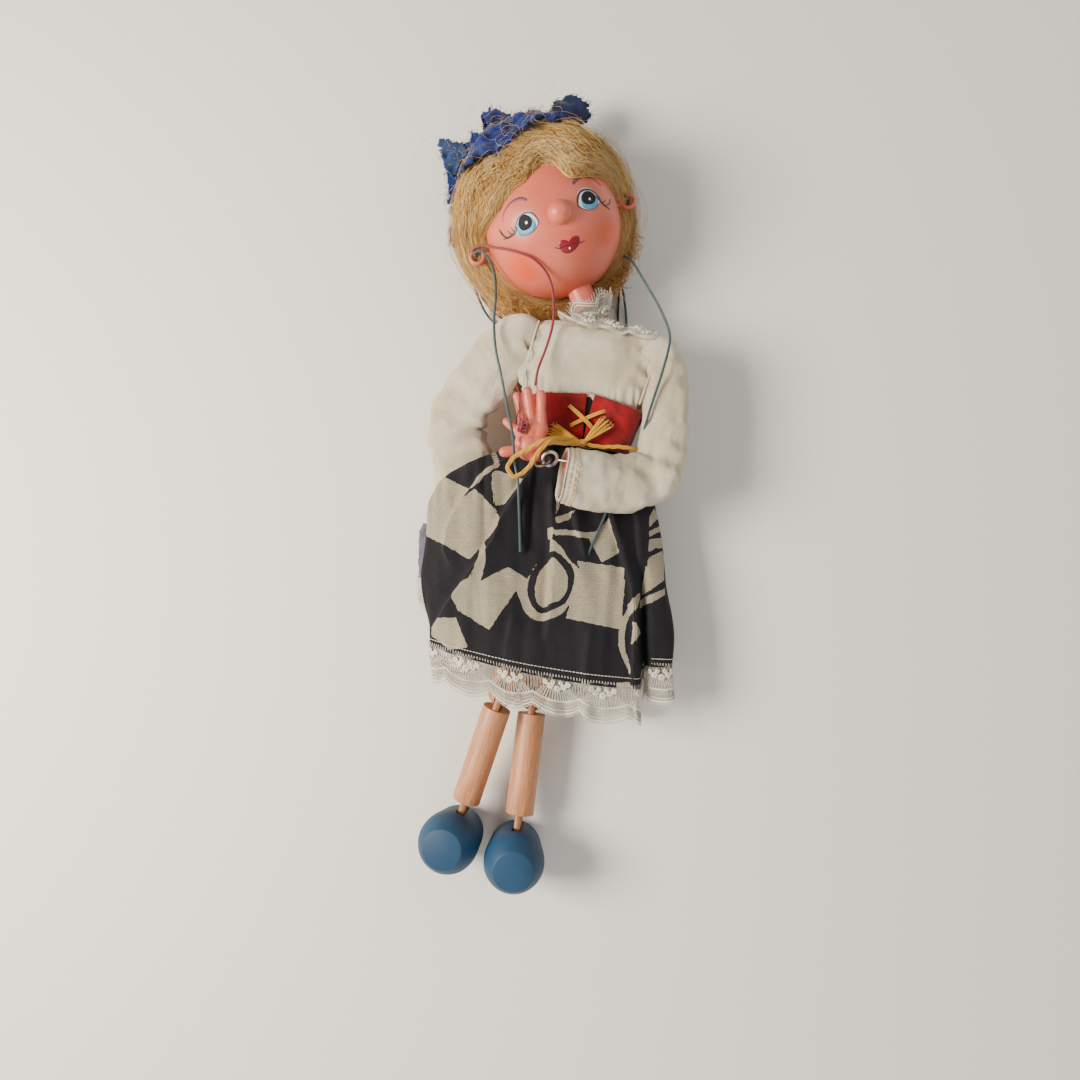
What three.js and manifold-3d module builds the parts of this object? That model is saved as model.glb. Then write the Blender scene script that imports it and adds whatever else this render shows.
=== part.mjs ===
// A string puppet of a girl, lying on its back on the wooden control that its strings are wound on.
// Millimetres. +X is the puppet's left, +Y is towards its head and +Z is its front.
import * as THREE from 'three';
import { mergeVertices } from 'three/addons/utils/BufferGeometryUtils.js';
import Module from 'manifold-3d';

const wasm = await Module();
wasm.setup();

// ---------- driving dimensions ----------
const GAP = 0.3;                       // between pieces that touch
const HEAD_RADIUS = 25.8;
const HEAD_CENTRE = [-7.7, 84, 29];
const HEAD_TURN = [12, 4, 19.5];       // nod, turn and sideways lean, in degrees
const CHEST_CENTRE = [4.8, 20.5, 23.2];
const CHEST_LEAN = -8;
const CHEST_SIZE = [34, 44, 18];
const HIP_LEAN = -16;
const HIP_SIZE = [28, 20.4, 9];
const HIP_LIFT = 20.2;                 // height of the hip block's middle
const BLOUSE_WALL = 1.2;
const ARM_RADIUS = 4.5;
const ARM_WIRE = 0.5;
const LINK = 2.1;                      // mean radius of a wire loop
const NECK_LINK = 2.6;                 // the loose ring between the chest and the neck
const UPPER_ARM_LENGTH = 46;
const FOREARM_LENGTH = 47.5;
const LEG_RADIUS = 5.3;
const SHIN_LENGTH = 53.5;
const STRIP = [2.5, 8];                // the flat wooden strip of a shin: thickness and width
const PIN_RADIUS = 0.8;
const HINGE_SLOT = 9.1;                // radius of the slot around a pin
const STRING_RADIUS = 0.5;
const CONTROL_CENTRE = [0.5, -4.5];
const CONTROL_LEAN = -8.5;
const BAR = { width: 16, length: 101, low: 1.5, high: 9.5 };
const CROSS_THICKNESS = 5;
const WINDING_WALL = 1;

// ---------- colours ----------
const paint = (colour, roughness = 0.6, metalness = 0) =>
  new THREE.MeshStandardMaterial({ color: colour, roughness, metalness });
const SKIN = paint('#d97a66', 0.35);
const WOOD = paint('#c98d63', 0.6);
const BARE_WOOD = paint('#b58a5c', 0.7);
const STEEL = paint('#b8bcc0', 0.3, 1);
const CALICO = paint('#e0d6c2', 0.95);
const LACE = paint('#d8d0bf', 0.95);
const RED_FELT = paint('#a50f14', 0.95);
const YELLOW = paint('#e0a92a', 0.8);
const HAIR = paint('#d9a95a', 0.7);
const BLUE_FELT = paint('#1c3472', 0.95);
const SKIRT_CLOTH = paint('#1e1a24', 0.95);
const SHOE_BLUE = paint('#2d6487', 0.35);
const BLACK_STRING = paint('#15130f', 0.8);
const RED_STRING = paint('#b02a35', 0.8);
const GREEN_STRING = paint('#4f6a66', 0.8);

// ---------- placing ----------
const vec = (point) => new THREE.Vector3(...point);
const rad = THREE.MathUtils.degToRad;
const at = (x, y, z) => new THREE.Matrix4().makeTranslation(x, y, z);

function turned(centre, nod, turn, lean) {
  const order = new THREE.Euler(rad(nod), rad(turn), rad(lean), 'ZXY');
  return new THREE.Matrix4().makeRotationFromEuler(order).setPosition(...centre);
}

// A frame at start with +Y towards end and +Z as near to front as it can be.
function along(start, end, front) {
  const y = end.clone().sub(start).normalize();
  const z = front.clone().addScaledVector(y, -front.dot(y)).normalize();
  const x = y.clone().cross(z);
  return new THREE.Matrix4().makeBasis(x, y, z).setPosition(start);
}

const from = (frame, x, y, z) => new THREE.Vector3(x, y, z).applyMatrix4(frame);
const axisOf = (frame, index) => new THREE.Vector3().setFromMatrixColumn(frame, index);
const step = (point, direction, distance) => point.clone().addScaledVector(direction, distance);

// ---------- solids ----------
function solid(geometry) {
  const bare = geometry.clone();
  bare.deleteAttribute('normal');
  bare.deleteAttribute('uv');
  const merged = mergeVertices(bare, 1e-4);
  const mesh = new wasm.Mesh({
    numProp: 3,
    vertProperties: new Float32Array(merged.attributes.position.array),
    triVerts: new Uint32Array(merged.index.array),
  });
  return new wasm.Manifold(mesh);
}

function shape(body) {
  const mesh = body.getMesh();
  const geometry = new THREE.BufferGeometry();
  geometry.setAttribute('position', new THREE.BufferAttribute(mesh.vertProperties, 3));
  geometry.setIndex(new THREE.BufferAttribute(mesh.triVerts, 1));
  geometry.computeVertexNormals();
  return geometry;
}

const placed = (geometry, frame) => solid(geometry.clone().applyMatrix4(frame));
const join = (...bodies) => bodies.reduce((sum, body) => sum.add(body));
const cut = (body, ...tools) => tools.reduce((left, tool) => left.subtract(tool), body);

// A round bar from one point to another.
function rod(start, end, radius, sides = 8) {
  const frame = along(start, end, Math.abs(end.z - start.z) > 0.9 * start.distanceTo(end) ? vec([1, 0, 0]) : vec([0, 0, 1]));
  const length = start.distanceTo(end);
  return placed(new THREE.CylinderGeometry(radius, radius, length, sides).translate(0, length / 2, 0), frame);
}

// A wire ring whose hole faces along normal.
function ring(centre, normal, wire, radius = LINK) {
  const spin = new THREE.Quaternion().setFromUnitVectors(new THREE.Vector3(0, 0, 1), normal);
  const frame = new THREE.Matrix4().makeRotationFromQuaternion(spin).setPosition(centre);
  return placed(new THREE.TorusGeometry(radius, wire, 6, 14), frame);
}

function box(frame, size, centre = [0, 0, 0]) {
  return placed(new THREE.BoxGeometry(...size).translate(...centre), frame);
}

function disc(frame, radius, thickness, sides = 18) {
  return placed(new THREE.CylinderGeometry(radius, radius, thickness, sides).rotateZ(Math.PI / 2), frame);
}

function ball(centre, radius, across = 24, up = 14) {
  return placed(new THREE.SphereGeometry(radius, across, up), at(centre.x, centre.y, centre.z));
}

function ellipsoid(centre, radii) {
  const frame = new THREE.Matrix4().makeScale(...radii).setPosition(...centre);
  return placed(new THREE.SphereGeometry(1, 22, 14), frame);
}

function rounded(width, height, radius) {
  const outline = new THREE.Shape();
  const [w, h] = [width / 2 - radius, height / 2 - radius];
  outline.absarc(w, h, radius, 0, Math.PI / 2);
  outline.absarc(-w, h, radius, Math.PI / 2, Math.PI);
  outline.absarc(-w, -h, radius, Math.PI, 1.5 * Math.PI);
  outline.absarc(w, -h, radius, 1.5 * Math.PI, 2 * Math.PI);
  outline.closePath();
  return outline;
}

// A straight sleeve of cloth: a rounded tube along the frame's +Y from low to high.
function sleeve(frame, width, height, corner, wall, low, high, shift = 0) {
  const outline = rounded(width, height, corner);
  outline.holes.push(rounded(width - 2 * wall, height - 2 * wall, corner - wall));
  const geometry = new THREE.ExtrudeGeometry(outline, { depth: high - low, bevelEnabled: false, curveSegments: 4 });
  geometry.rotateX(-Math.PI / 2).translate(shift, low, 0);
  return placed(geometry, frame);
}

function block(frame, size, corner) {
  const outline = rounded(size[0], size[2], corner);
  const geometry = new THREE.ExtrudeGeometry(outline, { depth: size[1], bevelEnabled: false, curveSegments: 4 });
  return placed(geometry.rotateX(-Math.PI / 2).translate(0, -size[1] / 2, 0), frame);
}

function tube(points, radius = STRING_RADIUS, steps = 36) {
  const curve = new THREE.CatmullRomCurve3(points, false, 'centripetal');
  const circle = new THREE.Shape().absarc(0, 0, radius, 0, 2 * Math.PI);
  return solid(new THREE.ExtrudeGeometry(circle, { steps, extrudePath: curve, curveSegments: 4, bevelEnabled: false }));
}

// ---------- the group and its bodies ----------
const puppet = new THREE.Group();
const all = new THREE.Group();
puppet.add(all);

function piece(name, body, material) {
  const mesh = new THREE.Mesh(shape(body), material);
  mesh.name = name;
  all.add(mesh);
}

// ---------- frames of the main parts ----------
const headFrame = turned(HEAD_CENTRE, ...HEAD_TURN);
const chestFrame = turned(CHEST_CENTRE, 0, 0, CHEST_LEAN);
const headCentre = vec(HEAD_CENTRE);
const LOOP_REACH = 3.4;                // from the chest block's end to the middle of its loop
const SHOULDER = [23.5, 16, 2.4];
const neckPoint = from(chestFrame, 0, CHEST_SIZE[1] / 2 + LOOP_REACH, 0);
const waistPoint = from(chestFrame, 0, -CHEST_SIZE[1] / 2 - LOOP_REACH, 0);
const neckAxis = headCentre.clone().sub(neckPoint).normalize();
const neckFrame = along(neckPoint, headCentre, vec([0, 0, 1]));
const WAIST_GAP = 5.1;                 // from the waist loop to the hip block
const hipUp = vec([Math.sin(rad(-HIP_LEAN)), Math.cos(rad(-HIP_LEAN)), 0]);
const hipCentre = step(waistPoint, hipUp, -WAIST_GAP - HIP_SIZE[1] / 2).setZ(HIP_LIFT);
const hipFrame = turned(hipCentre.toArray(), 0, 0, HIP_LEAN);
const HIP_AXLE = -6.2;
const HIP_SPREAD = 8.5;

// ---------- head ----------
function buildHead() {
  const BORE = 7;
  const surface = headCentre.distanceTo(neckPoint) - HEAD_RADIUS;
  const EYE_OUT = 30.9;
  const EYE_LOOP = 2.4;
  const EYE_WIRE = 0.7;
  const side = axisOf(headFrame, 0);
  const neckBore = rod(step(neckPoint, neckAxis, surface - 3), step(neckPoint, neckAxis, surface + BORE + GAP), 4.7 + GAP, 16);
  const earBore = (way) => rod(step(headCentre, side, way * (HEAD_RADIUS - 6.5)), step(headCentre, side, way * 30), EYE_WIRE + GAP);
  const skull = ball(headCentre, HEAD_RADIUS, 30, 18);
  piece('head_ball', cut(skull, neckBore, earBore(1), earBore(-1)), SKIN);

  const noseCentre = from(headFrame, 0, -1.35, HEAD_RADIUS - 0.2);
  piece('nose_bead', cut(ball(noseCentre, 4.35, 16, 10), ball(headCentre, HEAD_RADIUS + GAP, 30, 18)), SKIN);

  const dowelStart = step(neckPoint, neckAxis, 8.4);
  const dowelEnd = step(neckPoint, neckAxis, surface + BORE);
  const screwBore = rod(step(neckPoint, neckAxis, 7), step(neckPoint, neckAxis, 14), ARM_WIRE + GAP);
  piece('neck_dowel', cut(rod(dowelStart, dowelEnd, 4.7, 16), screwBore), SKIN);

  const across = axisOf(chestFrame, 0);
  const front = neckAxis.clone().cross(across).normalize();
  piece('neck_ring', ring(step(neckPoint, neckAxis, NECK_LINK), front, 0.45, NECK_LINK), STEEL);
  const screwLoop = step(neckPoint, neckAxis, 2 * NECK_LINK);
  const acrossNeck = front.clone().cross(neckAxis).normalize();
  piece('neck_screw_eye', join(
    ring(screwLoop, acrossNeck, 0.45),
    rod(step(screwLoop, neckAxis, LINK), step(neckPoint, neckAxis, 13.5), ARM_WIRE)), STEEL);

  for (const [name, way] of [['right', -1], ['left', 1]]) {
    const centre = step(headCentre, side, way * EYE_OUT);
    piece(`ear_eye_${name}`, join(
      ring(centre, vec([0, 0, 1]), EYE_WIRE, EYE_LOOP),
      rod(step(headCentre, side, way * (HEAD_RADIUS - 6)), step(centre, side, -way * EYE_LOOP), EYE_WIRE)), SKIN);
  }
}

const HAIR_CENTRE = [-11.5, 90, 20.5];
const HAIR_RADII = [33.5, 35, 20.2];

function buildHair() {
  const outer = ellipsoid(HAIR_CENTRE, HAIR_RADII);
  const skull = ball(headCentre, HEAD_RADIUS + GAP, 30, 18);
  const faceTilt = turned(HEAD_CENTRE, HEAD_TURN[0] - 11, HEAD_TURN[1], HEAD_TURN[2]);
  const face = box(faceTilt, [140, 140, 60], [0, 0, 14.6 + 30]);
  const neckRoom = rod(neckPoint, step(neckPoint, neckAxis, 30), 8, 16);
  const side = axisOf(headFrame, 0);
  const earRoom = (way) => rod(step(headCentre, side, way * 20), step(headCentre, side, way * 50), 5.6, 12);
  piece('hair_wig', cut(outer, skull, face, neckRoom, earRoom(1), earRoom(-1)), HAIR);

  const HAT_CENTRE = [-22, 112, 16.5];
  const HAT_RADII = [32, 28.6, 15.5];
  const hairRoom = ellipsoid(HAIR_CENTRE, HAIR_RADII.map((radius) => radius + GAP));
  piece('felt_hat', cut(ellipsoid(HAT_CENTRE, HAT_RADII), hairRoom), BLUE_FELT);
}

// ---------- chest ----------
function buildChest() {
  const [width, height, depth] = CHEST_SIZE;
  const half = height / 2;
  const wireBore = rod(from(chestFrame, 0, -half - 1, 0), from(chestFrame, 0, half + 1, 0), ARM_WIRE + GAP);
  const crossBore = rod(from(chestFrame, -width, 16, 2.4), from(chestFrame, width, 16, 2.4), ARM_WIRE + GAP);
  piece('chest_block', cut(block(chestFrame, CHEST_SIZE, 5), wireBore, crossBore), WOOD);

  const across = axisOf(chestFrame, 0);
  const up = axisOf(chestFrame, 1);
  const front = vec([0, 0, 1]);
  piece('torso_wire', join(
    ring(neckPoint, across, 0.45),
    rod(step(neckPoint, up, -LINK), step(waistPoint, up, LINK), ARM_WIRE),
    ring(waistPoint, front, ARM_WIRE)), STEEL);
  const right = from(chestFrame, -SHOULDER[0], SHOULDER[1], SHOULDER[2]);
  const left = from(chestFrame, ...SHOULDER);
  piece('shoulder_wire', join(
    ring(right, front, ARM_WIRE),
    rod(step(right, across, LINK), step(left, across, -LINK), ARM_WIRE),
    ring(left, front, ARM_WIRE)), STEEL);

  const armRoom = rod(from(chestFrame, -width, 16, 2.4), from(chestFrame, width, 16, 2.4), 2.6, 12);
  const shell = 2 * (GAP + BLOUSE_WALL);
  const blouse = sleeve(chestFrame, width + shell, depth + shell, 6.5, BLOUSE_WALL, -half, half);
  piece('blouse_body', cut(blouse, armRoom), CALICO);

  const BODICE_TOP = -4;
  const felt = sleeve(chestFrame, width + 2 * shell, depth + 2 * shell, 8, BLOUSE_WALL, -half, BODICE_TOP);
  const notch = new THREE.Shape([[0.4, -26], [1.6, -26], [2.6, 0], [-0.2, 0]].map((p) => new THREE.Vector2(...p)));
  const wedge = new THREE.ExtrudeGeometry(notch, { depth: 20, bevelEnabled: false });
  piece('felt_bodice', cut(felt, placed(wedge, chestFrame)), RED_FELT);

  const LACING_LEVEL = 36.1;
  const thread = (a, b) => rod(vec([...a, LACING_LEVEL]), vec([...b, LACING_LEVEL]), 0.5, 8);
  piece('bodice_lacing', join(thread([-2.3, 13.4], [6.3, 4.6]), thread([-2.1, 6], [10.8, 10.9])), YELLOW);

  const collar = [[6.2, 2], [11.5, 4.2], [11.5, 5.4], [6.2, 3.4], [6.2, 2]].map((p) => new THREE.Vector2(...p));
  piece('lace_collar', placed(new THREE.LatheGeometry(collar, 28), neckFrame), LACE);

  const TIE_ROUTE = [
    [20.6, -2.4, 34.2], [15.5, -2.8, 36.8], [9, -3, 37.4], [1.8, -2.4, 38], [-4.2, -1.6, 42.4], [-7.4, -2, 47.2], [-11, -3.2, 49.4],
    [-16.5, -6.6, 49.6], [-21, -8.8, 49.6], [-22.6, -12, 49.4], [-19.8, -14.4, 48.8], [-15.8, -11.6, 48.6],
    [-11.6, -6.2, 50.6],
  ];
  piece('waist_tie', tube(TIE_ROUTE.map(vec), 0.7, 30), YELLOW);
}

// ---------- hips and skirt ----------
const SKIRT_WALL = 0.8;
// One level of the skirt: place along Y, middle, half width, edge height, rise, drop, slant of its edge and
// how far it is lifted, at its right-hand side, over the arm that lies under it.
const SKIRT_LEVELS = [
  { y: -1.9, middle: 0, half: 21, edge: 22, rise: 8.5, drop: 9.5, slant: -0.14, lift: 1 },
  { y: -7.4, middle: -8, half: 31, edge: 19.5, rise: 9.5, drop: 8, slant: -0.07, lift: 1 },
  { y: -12.4, middle: -14, half: 39, edge: 18.5, rise: 10.6, drop: 7.2, slant: 0, lift: 1 },
  { y: -22, middle: -14.5, half: 44.5, edge: 18.5, rise: 11, drop: 7.2, slant: 0, lift: 1 },
  { y: -48, middle: -14.5, half: 47.5, edge: 18.5, rise: 11, drop: 7.2, slant: 0, lift: 1 },
  { y: -62, middle: -14.3, half: 48, edge: 18.5, rise: 11, drop: 9.5, slant: -0.08, lift: 1 },
  { y: -72, middle: -14.2, half: 48, edge: 18.5, rise: 11, drop: 12, slant: -0.14, lift: 0.5 },
  { y: -83, middle: -14, half: 48, edge: 18.5, rise: 11, drop: 12.2, slant: -0.18, lift: 0 },
];
const LACE_LEVELS = [
  { y: -84, middle: -14, half: 48, edge: 18.5, rise: 11, drop: 12.2, slant: -0.18, lift: 0 },
  { y: -97, middle: -14, half: 46, edge: 17.5, rise: 10.6, drop: 11.6, slant: -0.16, lift: 0 },
];

function skirtPoint(level, angle, inset) {
  const x = level.middle + (level.half - 1.3 * inset) * Math.cos(angle);
  const y = level.y + level.slant * (x - level.middle);
  const lifted = level.lift * THREE.MathUtils.smoothstep(-x, 20, 31);
  const height = angle < Math.PI ? level.rise - 1.5 * lifted : THREE.MathUtils.lerp(level.drop, 3.2, lifted);
  return [x, y, level.edge + 3.4 * lifted + (height - inset) * Math.sin(angle)];
}

function clothTube(levels, wall, sides = 28) {
  const stations = [...levels.map((level) => [level, 0]), ...[...levels].reverse().map((level) => [level, wall])];
  const points = [];
  for (const [level, inset] of stations) {
    for (let i = 0; i < sides; i += 1) points.push(...skirtPoint(level, (2 * Math.PI * i) / sides, inset));
  }
  const faces = [];
  for (let s = 0; s < stations.length; s += 1) {
    const here = s * sides;
    const next = ((s + 1) % stations.length) * sides;
    for (let i = 0; i < sides; i += 1) {
      const j = (i + 1) % sides;
      faces.push(here + i, here + j, next + j, here + i, next + j, next + i);
    }
  }
  const geometry = new THREE.BufferGeometry();
  geometry.setAttribute('position', new THREE.Float32BufferAttribute(points, 3));
  geometry.setIndex(faces);
  return geometry;
}

function buildHips() {
  const axleRight = from(hipFrame, -HIP_SPREAD - 5.2, HIP_AXLE, 0);
  const axleLeft = from(hipFrame, HIP_SPREAD + 5.2, HIP_AXLE, 0);
  const slots = [-1, 1].map((way) => box(hipFrame, [3.6, 12, 20], [way * HIP_SPREAD, HIP_AXLE - 1, 0]));
  const eyeLevel = waistPoint.z - HIP_LIFT;
  const screwBore = rod(from(hipFrame, 0, 2, eyeLevel), from(hipFrame, 0, 14, eyeLevel), ARM_WIRE + GAP);
  const axleBore = rod(axleRight, axleLeft, PIN_RADIUS + GAP);
  piece('hip_block', cut(block(hipFrame, HIP_SIZE, 3), ...slots, screwBore, axleBore), WOOD);
  piece('hip_axle', rod(step(axleRight, axisOf(hipFrame, 0), 0.6), step(axleLeft, axisOf(hipFrame, 0), -0.6), PIN_RADIUS), STEEL);
  const loop = step(waistPoint, hipUp, -LINK);
  piece('hip_screw_eye', join(
    ring(loop, axisOf(hipFrame, 0), ARM_WIRE),
    rod(step(loop, hipUp, -LINK), step(waistPoint, hipUp, -WAIST_GAP - 7), ARM_WIRE)), STEEL);
  piece('skirt', solid(clothTube(SKIRT_LEVELS, SKIRT_WALL)), SKIRT_CLOTH);
  piece('skirt_lace', solid(clothTube(LACE_LEVELS, SKIRT_WALL)), LACE);
}

// ---------- arms ----------
// A dowel with a wire through it that ends in a loop at each joint.
function armPiece(name, start, end, firstAxis, lastAxis, lastLoop, lastWire) {
  const way = end.clone().sub(start).normalize();
  const REACH = 6.4;
  const bore = rod(step(start, way, 2), step(end, way, -2), ARM_WIRE + GAP);
  piece(name, cut(rod(step(start, way, REACH), step(end, way, -REACH), ARM_RADIUS, 16), bore), SKIN);
  const firstFace = way.clone().cross(firstAxis).normalize();
  piece(`${name}_wire`, join(
    ring(step(start, way, LINK), firstFace, ARM_WIRE),
    rod(step(start, way, 2 * LINK), step(end, way, -lastLoop), ARM_WIRE),
    ring(end, lastAxis, lastWire, lastLoop)), STEEL);
}

// The hand's outline, from the wrist, with the fingers up the page and the thumb at the left.
const HAND_OUTLINE = [
  [-2.6, 1.4], [-0.7, 6.9], [-0.5, 17.8], [-1.8, 23.6], [-3.3, 24.8], [-4.6, 23.4], [-5.2, 20.8], [-6, 24.8],
  [-7.6, 26.4], [-9.2, 25.6], [-9.8, 21.4], [-10.8, 24.7], [-12.2, 24.4], [-13, 22], [-12.8, 17.8], [-16.3, 15.6],
  [-17.3, 14.4], [-16.8, 12.6], [-13.5, 9], [-13.2, 6], [-17.1, 4.2], [-17.9, 2.8], [-17, 1.4], [-12.9, -0.2],
  [-6.8, -0.8],
];
const WRIST_LOOP = 2.6;
const WRIST_WIRE = 0.65;
const HAND_THICKNESS = 6;

function handPiece(name, frame, hingeAxis, toHand, mirrored) {
  const turn = mirrored ? -1 : 1;
  const points = HAND_OUTLINE.map(([x, y]) => new THREE.Vector2(turn * x, y));
  if (mirrored) points.reverse();
  const curve = new THREE.SplineCurve([...points, points[0]]);
  const outline = new THREE.Shape(curve.getPoints(48).slice(0, -1));
  const palm = new THREE.ExtrudeGeometry(outline, { depth: HAND_THICKNESS, bevelEnabled: false });
  palm.translate(0, 0, -HAND_THICKNESS / 2);
  const wrist = from(frame, 0, 0, 0);
  const loop = step(wrist, toHand, LINK);
  const face = toHand.clone().cross(hingeAxis).normalize();
  const room = ball(wrist, WRIST_LOOP + 1.6, 16, 10);
  piece(name, join(
    cut(placed(palm, frame), room),
    ring(loop, face, 0.6),
    rod(step(loop, toHand, LINK + 0.6), from(frame, -8 * turn, 4, 0), 1.1)), SKIN);
}

// The cloth is a flattened tube: half thickness, and how far its middle is off the dowel's.
const SLEEVE_HALF = 5.8;
const SLEEVE_WIDTH = 20.6;
const SLEEVE_SHIFT = 4.5;

function buildArm(side, shoulder, elbow, wrist, handFrame, toHand, mirrored, shiftWay) {
  const front = vec([0, 0, 1]);
  const upperWay = elbow.clone().sub(shoulder).normalize();
  const foreWay = wrist.clone().sub(elbow).normalize();
  const elbowAxis = upperWay.clone().cross(foreWay).normalize();
  const wristAxis = mirrored ? front.clone() : foreWay.clone().cross(toHand).normalize();
  armPiece(`upper_arm_${side}`, shoulder, elbow, front, elbowAxis, LINK, ARM_WIRE);
  armPiece(`forearm_${side}`, elbow, wrist, elbowAxis, wristAxis, WRIST_LOOP, WRIST_WIRE);
  handPiece(`hand_${side}`, handFrame, wristAxis, toHand, mirrored);
  const upperFrame = along(shoulder, elbow, front);
  piece(`upper_sleeve_${side}`, sleeve(upperFrame, 12, 12, 5.8, 1, 6, 24), CALICO);
  const foreFrame = along(elbow, wrist, front);
  piece(`lower_sleeve_${side}`,
    sleeve(foreFrame, SLEEVE_WIDTH, 2 * SLEEVE_HALF, 5.6, 0.9, 7, FOREARM_LENGTH - 5, shiftWay * SLEEVE_SHIFT), CALICO);
}

function buildArms() {
  const left = from(chestFrame, ...SHOULDER);
  const leftElbow = step(left, vec([35, -12.7, 27.4]).sub(left).normalize(), UPPER_ARM_LENGTH);
  const leftWrist = step(leftElbow, vec([-43.9, 4.7, 16.8]).normalize(), FOREARM_LENGTH);
  const leftHand = at(leftWrist.x, leftWrist.y, leftWrist.z);
  buildArm('left', left, leftElbow, leftWrist, leftHand, vec([-0.9, -0.42, 0]).normalize(), false, -1);

  const right = from(chestFrame, -SHOULDER[0], SHOULDER[1], SHOULDER[2]);
  const rightElbow = step(right, vec([-37.2, -30.1, -13.6]).normalize(), UPPER_ARM_LENGTH);
  const rightWrist = step(rightElbow, vec([4.5, -47, -4.6]).normalize(), FOREARM_LENGTH);
  const rightHand = turned(rightWrist.toArray(), 3, 0, 196);
  buildArm('right', right, rightElbow, rightWrist, rightHand, vec([0.1, -1, 0]).normalize(), true, -1);
}

// ---------- legs ----------
function buildLeg(side, way, knee, shinWay, toe) {
  const hip = from(hipFrame, way * HIP_SPREAD, HIP_AXLE, 0);
  const thighFrame = along(hip, knee, vec([0, 0, 1]));
  const thighLength = hip.distanceTo(knee);
  const ankle = step(knee, shinWay, SHIN_LENGTH);
  const shinFrame = along(knee, ankle, vec([0, 0, 1]));
  const THIGH_START = 7.8;
  const SHIN_START = 6.2;
  const SHIN_END = SHIN_LENGTH - 9.6;

  const tongue = join(
    disc(at(hip.x, hip.y, hip.z).multiply(turned([0, 0, 0], 0, 0, HIP_LEAN)), 3.4, 3),
    box(hipFrame, [3, 9, 6.8], [way * HIP_SPREAD, HIP_AXLE - 4.5, 0]));
  const axleBore = rod(from(hipFrame, way * HIP_SPREAD - 4, HIP_AXLE, 0), from(hipFrame, way * HIP_SPREAD + 4, HIP_AXLE, 0), PIN_RADIUS + GAP);
  const dowel = join(rod(step(hip, axisOf(thighFrame, 1), THIGH_START), knee, LEG_RADIUS, 16), ball(knee, LEG_RADIUS, 16, 12));
  const slot = disc(shinFrame, HINGE_SLOT, STRIP[0] + 0.7);
  const sideWay = axisOf(shinFrame, 0);
  const pinBore = rod(step(knee, sideWay, -8), step(knee, sideWay, 8), PIN_RADIUS + GAP);
  piece(`thigh_${side}`, cut(join(cut(tongue, axleBore), dowel), slot, pinBore), WOOD);
  piece(`knee_pin_${side}`, rod(step(knee, sideWay, -4.9), step(knee, sideWay, 4.9), PIN_RADIUS), STEEL);

  const [thick, wide] = STRIP;
  const ends = [0, SHIN_LENGTH].map((y) => disc(shinFrame.clone().multiply(at(0, y, 0)), wide / 2, thick, 16));
  const bores = [0, SHIN_LENGTH].map((y) => disc(shinFrame.clone().multiply(at(0, y, 0)), PIN_RADIUS + GAP, 8, 10));
  const strip = join(box(shinFrame, [thick, SHIN_LENGTH, wide], [0, SHIN_LENGTH / 2, 0]), ...ends);
  piece(`shin_strip_${side}`, cut(strip, ...bores), WOOD);
  const channel = box(shinFrame, [thick + 2 * GAP, SHIN_LENGTH, wide + 2 * GAP], [0, SHIN_LENGTH / 2, 0]);
  piece(`shin_${side}`, cut(rod(from(shinFrame, 0, SHIN_START, 0), from(shinFrame, 0, SHIN_END, 0), LEG_RADIUS, 16), channel), WOOD);

  // The shoe is turned: a barrel whose axis runs from the heel, below, to the toe, above.
  const footFrame = along(ankle, step(ankle, toe, 10), shinWay.clone().negate());
  const HEEL = -11;
  const profile = [
    [0, 0], [7.2, 0], [9, 1.4], [9.8, 4], [10.3, 8.5], [11, 14], [11.3, 18], [10.9, 21.5], [9.4, 25.2], [7.4, 27.6], [0, 27.6],
  ];
  const turnedShoe = new THREE.LatheGeometry(profile.map(([r, h]) => new THREE.Vector2(r, h)), 22).translate(0, HEEL, -5.4);
  const ankleSlot = disc(shinFrame.clone().setPosition(ankle), HINGE_SLOT, thick + 0.7);
  const anklePin = rod(step(ankle, sideWay, -8), step(ankle, sideWay, 8), PIN_RADIUS + GAP);
  piece(`foot_${side}`, cut(placed(turnedShoe, footFrame), ankleSlot, anklePin), SHOE_BLUE);
  piece(`ankle_pin_${side}`, rod(step(ankle, sideWay, -7.4), step(ankle, sideWay, 7.4), PIN_RADIUS), STEEL);
}

function buildLegs() {
  buildLeg('right', -1, vec([-29.6, -91.5, 21.5]), vec([-18.1, -49.2, -8.7]).normalize(), vec([-2.6, -1.6, 26.5]).normalize());
  buildLeg('left', 1, vec([-18.6, -93.9, 13]), vec([-7.2, -53.1, -0.2]).normalize(), vec([1.9, -4, 26.5]).normalize());
}

// ---------- control and strings ----------
const controlFrame = turned([...CONTROL_CENTRE, 0], 0, 0, CONTROL_LEAN);
const CROSS = { along: 35, width: 12, length: 62 };
const LEG_BAR = { along: -44.5, width: 10, length: 50 };
const HEAD_BAND = [5, 26.5];
const HAND_BAND = [-9, 1.5];
const LEG_BAND = [-34, -12.5];

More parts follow.
